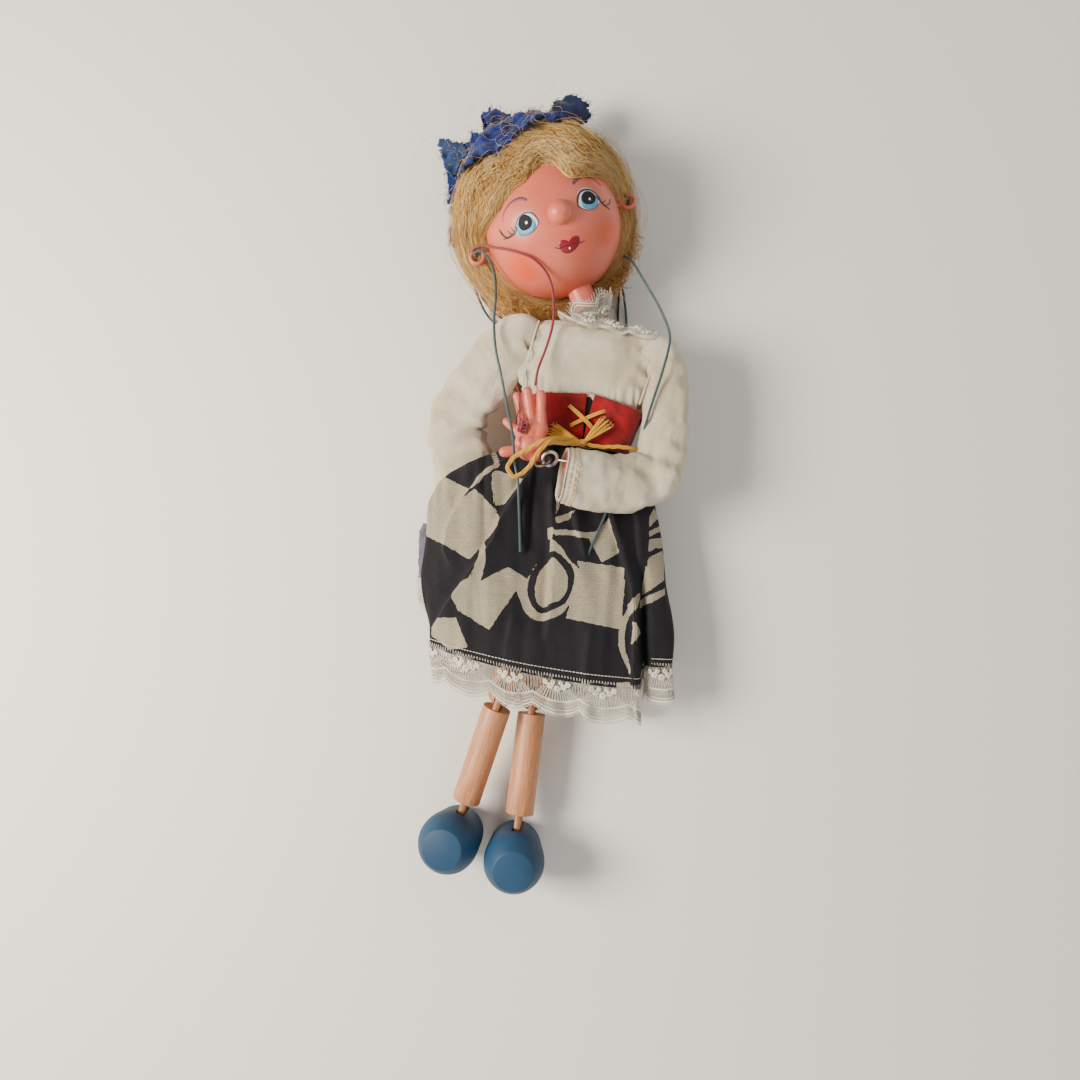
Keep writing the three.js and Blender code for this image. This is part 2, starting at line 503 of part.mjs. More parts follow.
function buildControl() {
  const bar = box(controlFrame, [BAR.width, BAR.length, BAR.high - BAR.low], [0, 0, (BAR.high + BAR.low) / 2]);
  const notch = ({ along: place, width }) => box(controlFrame, [40, width + 2 * GAP, 2 * (CROSS_THICKNESS + GAP)], [0, place, 0]);
  piece('control_bar', cut(bar, notch(CROSS), notch(LEG_BAR)), BARE_WOOD);
  const flat = ({ along: place, width, length }) =>
    box(controlFrame, [length, width, CROSS_THICKNESS], [0, place, CROSS_THICKNESS / 2]);
  piece('control_crosspiece', flat(CROSS), BARE_WOOD);
  piece('control_leg_bar', flat(LEG_BAR), BARE_WOOD);

  const middle = (BAR.high + BAR.low) / 2;
  const band = ([low, high]) => {
    const outer = 2 * (GAP + WINDING_WALL);
    const frame = controlFrame.clone().multiply(at(0, 0, middle));
    return sleeve(frame, BAR.width + outer, BAR.high - BAR.low + outer, WINDING_WALL + GAP, WINDING_WALL, low, high);
  };
  piece('head_strings_winding', band(HEAD_BAND), BLACK_STRING);
  piece('hand_string_winding', band(HAND_BAND), RED_STRING);
  piece('leg_strings_winding', band(LEG_BAND), GREEN_STRING);
}

// The last stretch of a string: over the crosspiece, along the bar's side and in to its own band.
function alongBar(sideways, bandTop, level = 6.3) {
  const way = Math.sign(sideways);
  return [[sideways, 46], [sideways, 36], [sideways, bandTop + 6], [way * 9.4, bandTop + 1.6], [way * 8.9, bandTop + 0.5]]
    .map(([x, y]) => from(controlFrame, x, y, level));
}

const HEAD_STRING_RIGHT = [
  [-36.8, 73.7, 33], [-37.2, 73.8, 28.4], [-42.8, 75, 26.6], [-45.2, 79.2, 23.6], [-46.4, 84.5, 18], [-46, 86, 12], [-44, 80, 5], [-36, 68, 1.6], [-22, 58.5, 1.3], [-8.6, 51.8, 3],
];
const HEAD_STRING_LEFT = [
  [21.4, 94.3, 28.6], [21.7, 94.4, 24.8], [24.6, 95, 21], [26.8, 93.4, 13], [26.6, 86, 6], [24.6, 74, 1.7], [22, 60, 1.4],
];
const HAND_STRING = [
  [-14, 19.2, 43.6], [-13.2, 25.4, 41.2], [-10, 35.9, 37], [-7.8, 44.2, 36.2], [-7.2, 50.4, 37.6], [-7.8, 57.2, 40.2],
  [-9.8, 61.2, 44], [-13.7, 64.5, 47.1], [-19.6, 67.4, 47], [-28.7, 72, 41.8], [-36, 76.4, 38.8], [-42.5, 79.6, 32],
  [-47.8, 81.8, 22], [-49, 80, 10], [-47, 73, 3], [-40, 63, 1.4], [-24, 54.8, 1.3], [-9.6, 49.4, 3],
];
const LEG_STRING_RIGHT = [
  [-21.3, -39.7, 31], [-21.5, -26, 31.2], [-21.3, -15.7, 36.4], [-21.3, -12, 42], [-21.3, -9.8, 47.4], [-21.5, -5.4, 48.6], [-21.8, 0.2, 48.7],
  [-23.5, 9.3, 48.4], [-25.2, 17.5, 45], [-27.1, 26.2, 40], [-29.3, 36.2, 35.4], [-30.1, 46.9, 33], [-29.5, 57.3, 32],
  [-29.4, 67, 35], [-34, 75.6, 35.2], [-38, 76, 33.4], [-41.4, 75.2, 31], [-45.8, 73.4, 24], [-46.6, 70, 8], [-42, 62.4, 2.4],
  [-34, 55.6, 1.4], [-21, 49.8, 1.4], [-10.6, 46.8, 3],
];
const LEG_STRING_LEFT = [
  [0.8, -47.5, 30], [4.6, -38.7, 30.2], [9.6, -27.7, 28.9], [13.9, -17.2, 27.4], [17, -12.4, 26.3], [19.8, -9, 25.4], [23.2, -4.4, 26.6], [24.4, 2, 30.2],
  [27, 10.6, 33.6], [31.8, 24.3, 34.5], [34.7, 35, 34.5], [34.8, 39, 34], [32.2, 49.3, 31], [26.6, 62.8, 27],
  [21.8, 74.4, 25.4], [25.4, 76.4, 17], [28.6, 71, 8], [28, 63, 2.4], [25.4, 55.6, 1.5],
];

function buildStrings() {
  const SPACING = 1.5;
  const CLEAR = 10.6;                  // from the bar's middle to the nearest string beside it
  const routes = [
    ['head_string_right', HEAD_STRING_RIGHT, -CLEAR, HEAD_BAND, BLACK_STRING],
    ['head_string_left', HEAD_STRING_LEFT, CLEAR, HEAD_BAND, BLACK_STRING],
    ['hand_string_left', HAND_STRING, -CLEAR - SPACING, HAND_BAND, RED_STRING],
    ['leg_string_right', LEG_STRING_RIGHT, -CLEAR - 2 * SPACING, LEG_BAND, GREEN_STRING],
    ['leg_string_left', LEG_STRING_LEFT, CLEAR + SPACING, LEG_BAND, GREEN_STRING],
  ];
  for (const [name, route, sideways, band, material] of routes) {
    piece(name, tube([...route.map(vec), ...alongBar(sideways, band[1])]), material);
  }
}

buildHead();
buildHair();
buildChest();
buildHips();
buildArms();
buildLegs();
buildControl();
buildStrings();

// The puppet stands on its own middle: centred in X and Y, with its lowest point at 0.
const reach = new THREE.Box3().setFromObject(all);
all.position.set(-(reach.min.x + reach.max.x) / 2, -(reach.min.y + reach.max.y) / 2, -reach.min.z);

export default puppet;
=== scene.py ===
"""A vintage string puppet lying on its wooden control. Lengths here are millimetres in the puppet's own
layout (+X its left, +Y towards its head, +Z its front) and are turned into the frame's metres by row()."""
import math

import bpy
import numpy as np
from mathutils import Matrix, Vector


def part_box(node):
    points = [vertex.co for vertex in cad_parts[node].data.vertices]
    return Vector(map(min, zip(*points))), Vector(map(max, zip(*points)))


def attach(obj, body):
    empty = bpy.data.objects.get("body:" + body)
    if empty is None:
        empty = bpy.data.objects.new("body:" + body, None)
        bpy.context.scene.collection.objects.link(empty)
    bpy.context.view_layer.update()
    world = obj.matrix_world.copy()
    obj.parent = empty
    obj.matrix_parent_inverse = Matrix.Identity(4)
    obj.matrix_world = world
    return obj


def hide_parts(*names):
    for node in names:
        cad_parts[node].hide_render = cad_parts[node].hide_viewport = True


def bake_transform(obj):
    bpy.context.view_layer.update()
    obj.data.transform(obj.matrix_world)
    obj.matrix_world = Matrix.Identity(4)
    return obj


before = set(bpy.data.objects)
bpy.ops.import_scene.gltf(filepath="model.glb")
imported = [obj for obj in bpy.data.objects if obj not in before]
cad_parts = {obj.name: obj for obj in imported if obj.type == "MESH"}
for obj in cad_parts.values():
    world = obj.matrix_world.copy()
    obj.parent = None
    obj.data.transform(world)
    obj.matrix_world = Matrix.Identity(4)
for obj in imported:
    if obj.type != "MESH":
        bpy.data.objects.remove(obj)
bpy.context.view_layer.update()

rng = np.random.default_rng(7)

HEAD = np.array([-7.7, 84.0, 29.0])
HEAD_R = 25.8
low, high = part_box("head_ball")
OFFSET = (np.array(low) + np.array(high)) / 2 - HEAD / 1000


def row(points):
    return np.asarray(points, float) / 1000 + OFFSET


def vec(*xyz):
    return np.array(xyz, float)


def unit(v):
    v = np.asarray(v, float)
    return v / np.linalg.norm(v)


def unit_rows(v):
    return v / np.maximum(np.linalg.norm(v, axis=1, keepdims=True), 1e-9)


def full_turn(count):
    """Even angles round a full turn."""
    return np.arange(count) * 2 * math.pi / count


def lengths(points):
    """How far along a line each of its points is."""
    return np.concatenate([[0], np.cumsum(np.linalg.norm(np.diff(points, axis=0), axis=1))])


def paired(s, w):
    return np.broadcast_arrays(np.asarray(s, float), np.asarray(w, float))


def frame_along(start, end, front):
    """Columns: sideways, along, front."""
    y = unit(np.asarray(end, float) - start)
    z = unit(front - y * np.dot(front, y))
    return np.stack([np.cross(y, z), y, z], 1)


def turn(axis, degrees):
    return np.array(Matrix.Rotation(math.radians(degrees), 3, axis))


def smooth(t):
    t = np.clip(t, 0, 1)
    return t * t * (3 - 2 * t)


def waves(points, size, seed, octaves=3):
    """Smooth random swells over a set of points, about -1 to 1, with swells of that size in millimetres."""
    gen = np.random.default_rng(seed)
    p = np.asarray(points, float)
    total, weight = np.zeros(len(p)), 0
    for octave in range(octaves):
        k, a = 2 * math.pi / size * 1.9**octave, 0.55**octave
        for _ in range(5):
            d = unit(gen.normal(size=3))
            total += a * np.sin(p @ d * k * gen.uniform(0.7, 1.3) + gen.uniform(0, 6.28)
                                + np.sin(p @ unit(gen.normal(size=3)) * k * 0.6))
        weight += a * 2.2
    return total / weight


# ---------- camera and light ----------
scene = bpy.context.scene
camera = bpy.data.objects.new("camera", bpy.data.cameras.new("camera"))
scene.collection.objects.link(camera)
right, up, view = vec(0.9970, -0.0131, -0.0759), vec(0.0202, 0.9954, 0.0934), vec(-0.0743, 0.0947, -0.9927)
pose = Matrix.Identity(4)
for i in range(3):
    pose[i][0], pose[i][1], pose[i][2] = right[i], up[i], -view[i]
pose.translation = Vector(row(vec(9.21, -65.08, 341)))
camera.matrix_world = pose
camera.data.lens = 28.33
camera.data.sensor_width = 36
camera.data.clip_start = 0.01
scene.camera = camera

world = bpy.data.worlds.new("studio")
world.use_nodes = True
world.node_tree.nodes["Background"].inputs[0].default_value = (1, 0.97, 0.93, 1)
world.node_tree.nodes["Background"].inputs[1].default_value = 0.32
scene.world = world


def area_light(name, place, target, size, watts, tone):
    data = bpy.data.lights.new(name, "AREA")
    data.size, data.energy, data.color = size, watts, tone
    lamp = bpy.data.objects.new(name, data)
    lamp.location = Vector(row(place))
    lamp.rotation_euler = (Vector(row(target)) - lamp.location).to_track_quat("-Z", "Y").to_euler()
    scene.collection.objects.link(lamp)


area_light("key", vec(-520, -40, 470), vec(0, 0, 20), 0.3, 10.5, (1, 0.93, 0.82))
area_light("fill", vec(420, 260, 460), vec(0, 0, 20), 0.7, 1.7, (0.92, 0.96, 1))
area_light("low", vec(60, -560, 260), vec(0, 0, 20), 0.5, 1.2, (1, 0.96, 0.9))


# ---------- materials ----------
def colour(hexa):
    parts = [int(hexa[i : i + 2], 16) / 255 for i in (0, 2, 4)]
    return tuple(c / 12.92 if c <= 0.04045 else ((c + 0.055) / 1.055) ** 2.4 for c in parts) + (1.0,)


class Look:
    """A principled material with a few shorthands for its nodes."""

    def __init__(self, name, roughness=0.6, metallic=0.0, **sockets):
        self.mat = bpy.data.materials.new(name)
        self.mat.use_nodes = True
        self.tree = self.mat.node_tree
        self.shader = self.tree.nodes["Principled BSDF"]
        self.set(self.shader, "Roughness", roughness)
        self.set(self.shader, "Metallic", metallic)
        for key, value in sockets.items():
            self.set(self.shader, key.replace("_", " "), value)

    def set(self, node, socket, value):
        if hasattr(value, "is_output"):
            self.tree.links.new(value, node.inputs[socket])
        else:
            node.inputs[socket].default_value = value

    def node(self, kind, out=0, props=(), **sockets):
        n = self.tree.nodes.new(kind)
        for key, value in dict(props).items():
            setattr(n, key, value)
        for key, value in sockets.items():
            self.set(n, int(key[1:]) if key[0] == "i" and key[1:].isdigit() else key.replace("_", " "), value)
        return n.outputs[out]

    def place(self, kind="Object", stretch=(1, 1, 1), rotate=(0, 0, 0)):
        coords = self.tree.nodes.new("ShaderNodeTexCoord").outputs[kind]
        return self.node("ShaderNodeMapping", Vector=coords, Scale=stretch, Rotation=rotate)

    def noise(self, scale, detail=3, rough=0.55, where=None, out=0):
        return self.node("ShaderNodeTexNoise", out, Scale=scale, Detail=detail, Roughness=rough,
                         Vector=where or self.place())

    def ramp(self, fac, *stops):
        n = self.tree.nodes.new("ShaderNodeValToRGB")
        self.tree.links.new(fac, n.inputs[0])
        while len(n.color_ramp.elements) < len(stops):
            n.color_ramp.elements.new(0.5)
        for element, (at, value) in zip(n.color_ramp.elements, stops):
            element.position = at
            element.color = value
        return n.outputs[0]

    def mix(self, fac, a, b, blend="MIX"):
        n = self.tree.nodes.new("ShaderNodeMix")
        n.data_type, n.blend_type = "RGBA", blend
        for socket, value in ((n.inputs[0], fac), (n.inputs[6], a), (n.inputs[7], b)):
            if hasattr(value, "is_output"):
                self.tree.links.new(value, socket)
            else:
                socket.default_value = value
        return n.outputs[2]

    def maths(self, operation, a, b=0.0, clamp=False):
        return self.node("ShaderNodeMath", 0, {"operation": operation, "use_clamp": clamp}, i0=a, i1=b)

    def near(self, point, inner, outer):
        """1 inside the inner distance of a point, 0 beyond the outer one, in millimetres."""
        away = self.node("ShaderNodeVectorMath", 1, {"operation": "DISTANCE"}, i0=self.place(), i1=tuple(row(point)))
        return self.node("ShaderNodeMapRange", 0, {"interpolation_type": "SMOOTHSTEP"}, Value=away,
                         From_Min=inner / 1000, From_Max=outer / 1000, To_Min=1.0, To_Max=0.0)

    def bump(self, *layers):
        """Each layer is (height, millimetres)."""
        normal = None
        for height, depth in layers:
            n = self.tree.nodes.new("ShaderNodeBump")
            self.set(n, "Height", height)
            n.inputs["Strength"].default_value = 1.0
            n.inputs["Distance"].default_value = depth / 1000
            if normal is not None:
                self.set(n, "Normal", normal)
            normal = n.outputs[0]
        self.set(self.shader, "Normal", normal)

    def base(self, value):
        self.set(self.shader, "Base Color", value)
        return self.mat

    def weave(self, across, along=None):
        """Crossed threads, that many to a millimetre of the UV map."""
        uv = self.node("ShaderNodeUVMap")
        parts = self.tree.nodes.new("ShaderNodeSeparateXYZ")
        self.tree.links.new(uv, parts.inputs[0])
        x = self.maths("SINE", self.maths("MULTIPLY", parts.outputs[0], 6.283 * across))
        y = self.maths("SINE", self.maths("MULTIPLY", parts.outputs[1], 6.283 * (along or across)))
        return self.maths("MULTIPLY", x, y), x, y


def paint(name, hexa, dark, roughness=0.35, coat=0.0, bumps=0.03):
    look = Look(name, roughness, Coat_Weight=coat, Coat_Roughness=0.25)
    patches = look.noise(60, 4)
    tone = look.ramp(patches, (0.3, colour(dark)), (0.62, colour(hexa)))
    look.bump((look.noise(900, 4), bumps), (look.noise(140, 2), bumps * 3))
    return look, tone


def skin_material(name="skin_paint", blush=()):
    look, tone = paint(name, "d56a52", "c55c46", 0.42, 0.1)
    speck = look.ramp(look.noise(2200, 2), (0.3, colour("93402f")), (0.42, (1, 1, 1, 1)))
    tone = look.mix(0.22, tone, speck, "MULTIPLY")
    for point, inner, outer, strength, hexa in blush:
        spread = look.maths("MULTIPLY", look.near(point, inner, outer), strength)
        tone = look.mix(look.maths("MULTIPLY", spread, look.ramp(look.noise(300, 3), (0.2, (0.7, 0.7, 0.7, 1)),
                (0.6, (1, 1, 1, 1)))), tone, colour(hexa))
    return look.base(tone)


def flat_paint(name, hexa, roughness=0.45):
    look = Look(name, roughness)
    c = colour(hexa)
    tone = look.mix(look.maths("MULTIPLY", look.noise(500, 3), 0.35), c, tuple(x * 0.6 for x in c[:3]) + (1,))
    return look.base(tone)


def wood(name, light, dark, roughness=0.45, grain=1.0):
    """Grain runs along V of the UV map, which is in millimetres."""
    look = Look(name, roughness, Coat_Weight=0.12, Coat_Roughness=0.35)
    uv = look.place("UV", (0.9 * grain, 0.045, 1))
    fibres = look.noise(1.6, 5, 0.65, uv)
    pores = look.noise(9, 3, 0.6, look.place("UV", (1.2, 0.09, 1)))
    tone = look.ramp(fibres, (0.28, colour(dark)), (0.66, colour(light)))
    tone = look.mix(0.3, tone, look.ramp(pores, (0.36, colour(dark)), (0.5, (1, 1, 1, 1))), "MULTIPLY")
    look.bump((pores, 0.04), (fibres, 0.05))
    return look.base(tone)


def cloth(name, light, dark, threads=2.2, sheen=0.25, roughness=0.9, depth=0.06, stains=None):
    look = Look(name, roughness, Sheen_Weight=sheen, Sheen_Roughness=0.5)
    web, _, _ = look.weave(threads)
    tone = look.ramp(look.noise(45, 4), (0.3, colour(dark)), (0.66, colour(light)))
    slub = look.noise(1.0, 3, 0.6, look.place("UV", (3.0, 0.25, 1)))
    slub2 = look.noise(1.0, 3, 0.6, look.place("UV", (0.25, 3.0, 1)))
    tone = look.mix(0.35, tone, look.ramp(slub, (0.25, colour(dark)), (0.5, (1, 1, 1, 1))), "MULTIPLY")
    tone = look.mix(0.25, tone, look.ramp(slub2, (0.3, colour(dark)), (0.6, (1, 1, 1, 1))), "MULTIPLY")
    if stains:
        tone = look.mix(look.maths("MULTIPLY", look.ramp(look.noise(75, 3), (0.58, (0, 0, 0, 1)),
                                                         (0.78, (1, 1, 1, 1))), 0.3), tone, colour(stains),
                                                         "MULTIPLY")
    look.bump((web, depth), (slub, depth * 1.6), (look.noise(250, 3), 0.12))
    return look.base(tone)


def felt(name, light, dark):
    look = Look(name, 0.95, Sheen_Weight=0.15, Sheen_Roughness=0.45)
    fuzz = look.noise(2600, 5, 0.7)
    tone = look.ramp(look.noise(140, 4, 0.6), (0.3, colour(dark)), (0.68, colour(light)))
    tone = look.mix(0.5, tone, look.ramp(fuzz, (0.3, colour(dark)), (0.62, (1, 1, 1, 1))), "MULTIPLY")
    look.bump((fuzz, 0.25), (look.noise(500, 4), 0.3))
    return look.base(tone)


def yarn(name, light, dark, twist=1.6):
    """Strands that spiral round a cord whose UV map is millimetres round and along, painted darker in the grooves
    between them as shade.
    """
    look = Look(name, 0.75, Sheen_Weight=0.3)
    uv = look.node("ShaderNodeUVMap")
    parts = look.tree.nodes.new("ShaderNodeSeparateXYZ")
    look.tree.links.new(uv, parts.inputs[0])
    turns = look.maths("ADD", look.maths("MULTIPLY", parts.outputs[0], 2 * 6.283),
                       look.maths("MULTIPLY", parts.outputs[1], 6.283 * twist))
    ply = look.maths("ABSOLUTE", look.maths("SINE", turns))
    # painted shade: darker in the grooves between the strands
    tone = look.ramp(ply, (0.05, colour(dark)), (0.6, colour(light)))
    tone = look.mix(0.4, tone, look.ramp(look.noise(1500, 3), (0.3, colour(dark)), (0.6, (1, 1, 1, 1))), "MULTIPLY")
    look.bump((ply, 0.12))
    return look.base(tone)


def metal(name, hexa, roughness=0.28):
    look = Look(name, roughness, 1.0)
    worn = look.noise(900, 4)
    look.set(look.shader, "Roughness", look.ramp(worn, (0.3, (0.2, 0.2, 0.2, 1)), (0.7, (0.5, 0.5, 0.5, 1))))
    look.bump((worn, 0.03))
    return look.base(look.ramp(look.noise(400, 3), (0.3, colour("7d7a74")), (0.6, colour(hexa))))


STEEL = metal("steel", "c9cbcc")
WOOD = wood("beech", "cf8f62", "a2633b")
DARK_WOOD = wood("worn_beech", "b57a4d", "7a4b2b")
BAR_WOOD = wood("sawn_wood", "c39b6c", "8c6841", 0.6)
CALICO = cloth("calico", "eadfc8", "cdbd9c", 1.5, depth=0.12, stains="a97c48")
LACE = cloth("lace_thread", "fbf6ea", "e6dcc8", 3.0, sheen=0.1)
RED_FELT = felt("red_felt", "b0040c", "6c0307")
BLUE_FELT = felt("blue_felt", "14368c", "091640")
YELLOW = yarn("yellow_cotton", "f7b900", "b97800", 1.2)
SHOE, tone = paint("shoe_blue", "0a3d5e", "08324c", 0.6, 0.0)
SHOE = SHOE.base(tone)
BLACK_YARN = yarn("black_string", "2a2723", "0c0b0a")
RED_YARN = yarn("red_string", "a91524", "650a12")
GREEN_YARN = yarn("green_string", "355b5c", "1b2f30")


# ---------- mesh making ----------
def make(name, verts, faces, mats, body=None, hides=(), uv=None, which=None, shade=True, tint=None):
    mesh = bpy.data.meshes.new(name)
    mesh.from_pydata(row(verts).tolist(), [], faces)
    for material in mats if isinstance(mats, (list, tuple)) else [mats]:
        mesh.materials.append(material)
    if which is not None:
        mesh.polygons.foreach_set("material_index", np.asarray(which, np.int32))
    mesh.polygons.foreach_set("use_smooth", [shade] * len(mesh.polygons))
    corner = np.empty(len(mesh.loops), np.int32)
    mesh.loops.foreach_get("vertex_index", corner)
    if uv is not None:
        layer = mesh.uv_layers.new(name="UVMap")
        layer.data.foreach_set("uv", np.asarray(uv, np.float32)[corner].ravel())
    if tint is not None:
        layer = mesh.attributes.new("tint", "FLOAT", "POINT")
        layer.data.foreach_set("value", np.asarray(tint, np.float32))
    mesh.update()
    obj = bpy.data.objects.new(name, mesh)
    scene.collection.objects.link(obj)
    return settle(obj, body, hides)


def solid(name, shape, mats, body=None, hides=()):
    """A mesh from a shape, which is its verts, faces and UV map."""
    verts, faces, uv = shape
    return make(name, verts, faces, mats, body, hides, uv)


def settle(obj, body=None, hides=()):
    if hides:
        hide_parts(*hides)
    if body:
        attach(obj, body)
    return obj


def modified(obj, *modifiers):
    """Adds (kind, settings) modifiers and bakes them into the mesh."""
    for kind, settings in modifiers:
        m = obj.modifiers.new(kind, kind)
        for key, value in settings.items():
            setattr(m, key, value)
    depsgraph = bpy.context.evaluated_depsgraph_get()
    old = obj.data
    obj.data = bpy.data.meshes.new_from_object(obj.evaluated_get(depsgraph))
    obj.modifiers.clear()
    bpy.data.meshes.remove(old)
    return obj


def cut(obj, cutters, bevel=0.25):
    for tool in cutters:
        modified(obj, ("BOOLEAN", {"object": tool, "operation": "DIFFERENCE", "solver": "EXACT"}))
        bpy.data.objects.remove(tool)
    if bevel:
        modified(obj, ("BEVEL", {"width": bevel / 1000, "segments": 2, "limit_method": "ANGLE",
                                 "angle_limit": math.radians(40)}))
    obj.data.set_sharp_from_angle(angle=math.radians(42))
    return obj


class Parts:
    """Gathers several shapes into one mesh."""

    def __init__(self):
        self.verts, self.faces, self.uv, self.which, self.count, self.tint = [], [], [], [], 0, []

    def add(self, shape, material=0, tint=0.5):
        verts, faces, uv = shape
        self.verts.append(verts)
        self.uv.append(uv if uv is not None else np.zeros((len(verts), 2)))
        self.faces += [[i + self.count for i in face] for face in faces]
        self.which += [material] * len(faces)
        self.tint.append(np.full(len(verts), tint))
        self.count += len(verts)
        return self

    def build(self, name, mats, body=None, hides=(), tint=False, shade=True):
        return make(name, np.concatenate(self.verts), self.faces, mats, body, hides, np.concatenate(self.uv),
                    self.which, shade,
                    np.concatenate(self.tint) if tint else None)


def grid_faces(rows, columns, close_columns=True, close_rows=False, flip=False):
    faces = []
    for r in range(rows if close_rows else rows - 1):
        for c in range(columns if close_columns else columns - 1):
            a, b = r * columns + c, r * columns + (c + 1) % columns
            d, e = ((r + 1) % rows) * columns + c, ((r + 1) % rows) * columns + (c + 1) % columns
            faces.append((a, d, e, b) if flip else (a, b, e, d))
    return faces


def loft(rings, caps=True, flip=False):
    """rings: array of sections by points by 3. Returns verts, faces and a UV map in millimetres."""
    rings = np.asarray(rings, float)
    n, m, _ = rings.shape
    faces = grid_faces(n, m, flip=flip)
    verts = rings.reshape(-1, 3)
    around = lengths(rings[n // 2])
    along = lengths(rings.mean(1))
    uv = np.stack(np.meshgrid(around, along), -1).reshape(-1, 2)
    if caps:
        ends = [tuple(range(m))[::-1], tuple(range((n - 1) * m, n * m))]
        faces += [e[::-1] for e in ends] if flip else ends
    return verts, faces, uv


def spline(points, spacing, closed=False):
    """Even points along a smooth curve through these points."""
    p = np.asarray(points, float)
    p = np.concatenate([p[-1:], p, p[:2]]) if closed else np.concatenate([2 * p[:1] - p[1:2], p,
            2 * p[-1:] - p[-2:-1]])
    fine = []
    for a, b, c, d in zip(p[:-3], p[1:-2], p[2:-1], p[3:]):
        ta = 0.0
        tb = ta + max(np.linalg.norm(b - a), 1e-6) ** 0.5
        tc = tb + max(np.linalg.norm(c - b), 1e-6) ** 0.5
        td = tc + max(np.linalg.norm(d - c), 1e-6) ** 0.5
        t = np.linspace(tb, tc, 14, endpoint=False)[:, None]
        ab, bc, cd = (tb - t) / (tb - ta) * a + (t - ta) / (tb - ta) * b, (tc - t) / (tc - tb) * b + (t - tb) / (tc
                - tb) * c, (td - t) / (td - tc) * c + (t - tc) / (td - tc) * d
        abc, bcd = (tc - t) / (tc - ta) * ab + (t - ta) / (tc - ta) * bc, (td - t) / (td - tb) * bc + (t - tb) / (td
                - tb) * cd
        fine.append((tc - t) / (tc - tb) * abc + (t - tb) / (tc - tb) * bcd)
    fine = np.concatenate(fine + [p[-2:-1]])
    steps = lengths(fine)
    count = max(3, int(round(steps[-1] / spacing)) + 1)
    at = np.linspace(0, steps[-1], count)
    return np.stack([np.interp(at, steps, fine[:, i]) for i in range(3)], 1)


def tube(path, radius, sides=8, closed=False, caps=True, flat=1.0):
    """A round cord along a path, of one radius or one for each point."""
    path = np.asarray(path, float)
    n = len(path)
    radius = np.full(n, radius) if np.isscalar(radius) else np.asarray(radius, float)
    tangent = np.roll(path, -1, 0) - np.roll(path, 1, 0)
    if not closed:
        tangent[0], tangent[-1] = path[1] - path[0], path[-1] - path[-2]
    tangent /= np.maximum(np.linalg.norm(tangent, axis=1, keepdims=True), 1e-9)
    side = np.cross(tangent[0], [0, 0, 1])
    if np.linalg.norm(side) < 0.1:
        side = np.cross(tangent[0], [0, 1, 0])
    sides_ = []
    for t in tangent:
        side = unit(side - t * np.dot(side, t))
        sides_.append(side)
    first = np.array(sides_)
    second = np.cross(tangent, first)
    angle = full_turn(sides)
    rings = path[:, None] + radius[:, None, None] * (np.cos(angle)[None, :, None] * first[:, None] + flat
                                                     * np.sin(angle)[None, :, None] * second[:, None])
    if closed:
        verts = rings.reshape(-1, 3)
        uv = np.stack(np.meshgrid(angle / 6.283, np.arange(n) * np.linalg.norm(path[1] - path[0])), -1).reshape(-1, 2)
        return verts, grid_faces(n, sides, close_rows=True), uv
    verts, faces, _ = loft(rings, caps)
    along = lengths(path)
    return verts, faces, np.stack(np.meshgrid(angle / 6.283, along), -1).reshape(-1, 2)


def lathe(frame3, origin, profile, sides=64):
    """profile: (radius, along) pairs; the axis is the frame's second column."""
    angle = full_turn(sides)
    rings = [origin + frame3[:, 1] * h + r * (np.cos(angle)[:, None] * frame3[:, 0] + np.sin(angle)[:, None]
                                              * frame3[:, 2]) for r, h in profile]
    return loft(rings)


def rounded_profile(points, radius, steps=4):
    """Rounds the corners of a (radius, along) outline."""
    p = [np.array(q, float) for q in points]
    out = [p[0]]
    for a, b, c in zip(p[:-2], p[1:-1], p[2:]):
        r = min(radius, 0.45 * np.linalg.norm(a - b), 0.45 * np.linalg.norm(c - b))
        s, e = b + unit(a - b) * r, b + unit(c - b) * r
        for t in np.linspace(0, 1, steps + 1):
            out.append((1 - t) ** 2 * s + 2 * t * (1 - t) * b + t * t * e)
    return out + [p[-1]]


def box_object(name, frame3, centre, size):
    corners = [centre + frame3 @ (np.array([x, y, z]) * size / 2) for x in (-1, 1) for y in (-1, 1) for z in (-1, 1)]
    faces = [(0, 1, 3, 2), (4, 6, 7, 5), (0, 4, 5, 1), (2, 3, 7, 6), (0, 2, 6, 4), (1, 5, 7, 3)]
    return make(name, corners, faces, [], shade=False)


def disc_object(name, frame3, centre, radius, thickness, sides=48):
    turned = np.stack([frame3[:, 1], frame3[:, 0], frame3[:, 2]], 1)
    return make(name, *lathe(turned, centre, [(radius, -thickness / 2), (radius, thickness / 2)], sides)[:2], [],
                shade=False)


# ---------- frames of the figure ----------
TILT = turn("Z", 19.5) @ turn("X", 12) @ turn("Y", 4)
CHEST = vec(4.8, 20.5, 23.2)
CHEST_AXES = turn("Z", -8)
NECK = CHEST + 25.4 * CHEST_AXES[:, 1]
WAIST = CHEST - 25.4 * CHEST_AXES[:, 1]
NECK_WAY = unit(HEAD - NECK)
HIP_AXES = turn("Z", -16)
HIPS = WAIST - 15.3 * HIP_AXES[:, 1]
HIPS[2] = 20.2
AXLE = HIPS - 6.2 * HIP_AXES[:, 1]
SHOULDER = {side: CHEST + CHEST_AXES @ vec(way * 23.5, 16, 2.4) for side, way in (("right", -1), ("left", 1))}
ELBOW = {"left": SHOULDER["left"] + 46 * unit(vec(35, -12.7, 27.4) - SHOULDER["left"]),
         "right": SHOULDER["right"] + 46 * unit(vec(-37.2, -30.1, -13.6))}
WRIST = {"left": ELBOW["left"] + 47.5 * unit(vec(-43.9, 4.7, 16.8)),
         "right": ELBOW["right"] + 47.5 * unit(vec(4.5, -47, -4.6))}
HIP = {side: AXLE + way * 8.5 * HIP_AXES[:, 0] for side, way in (("right", -1), ("left", 1))}
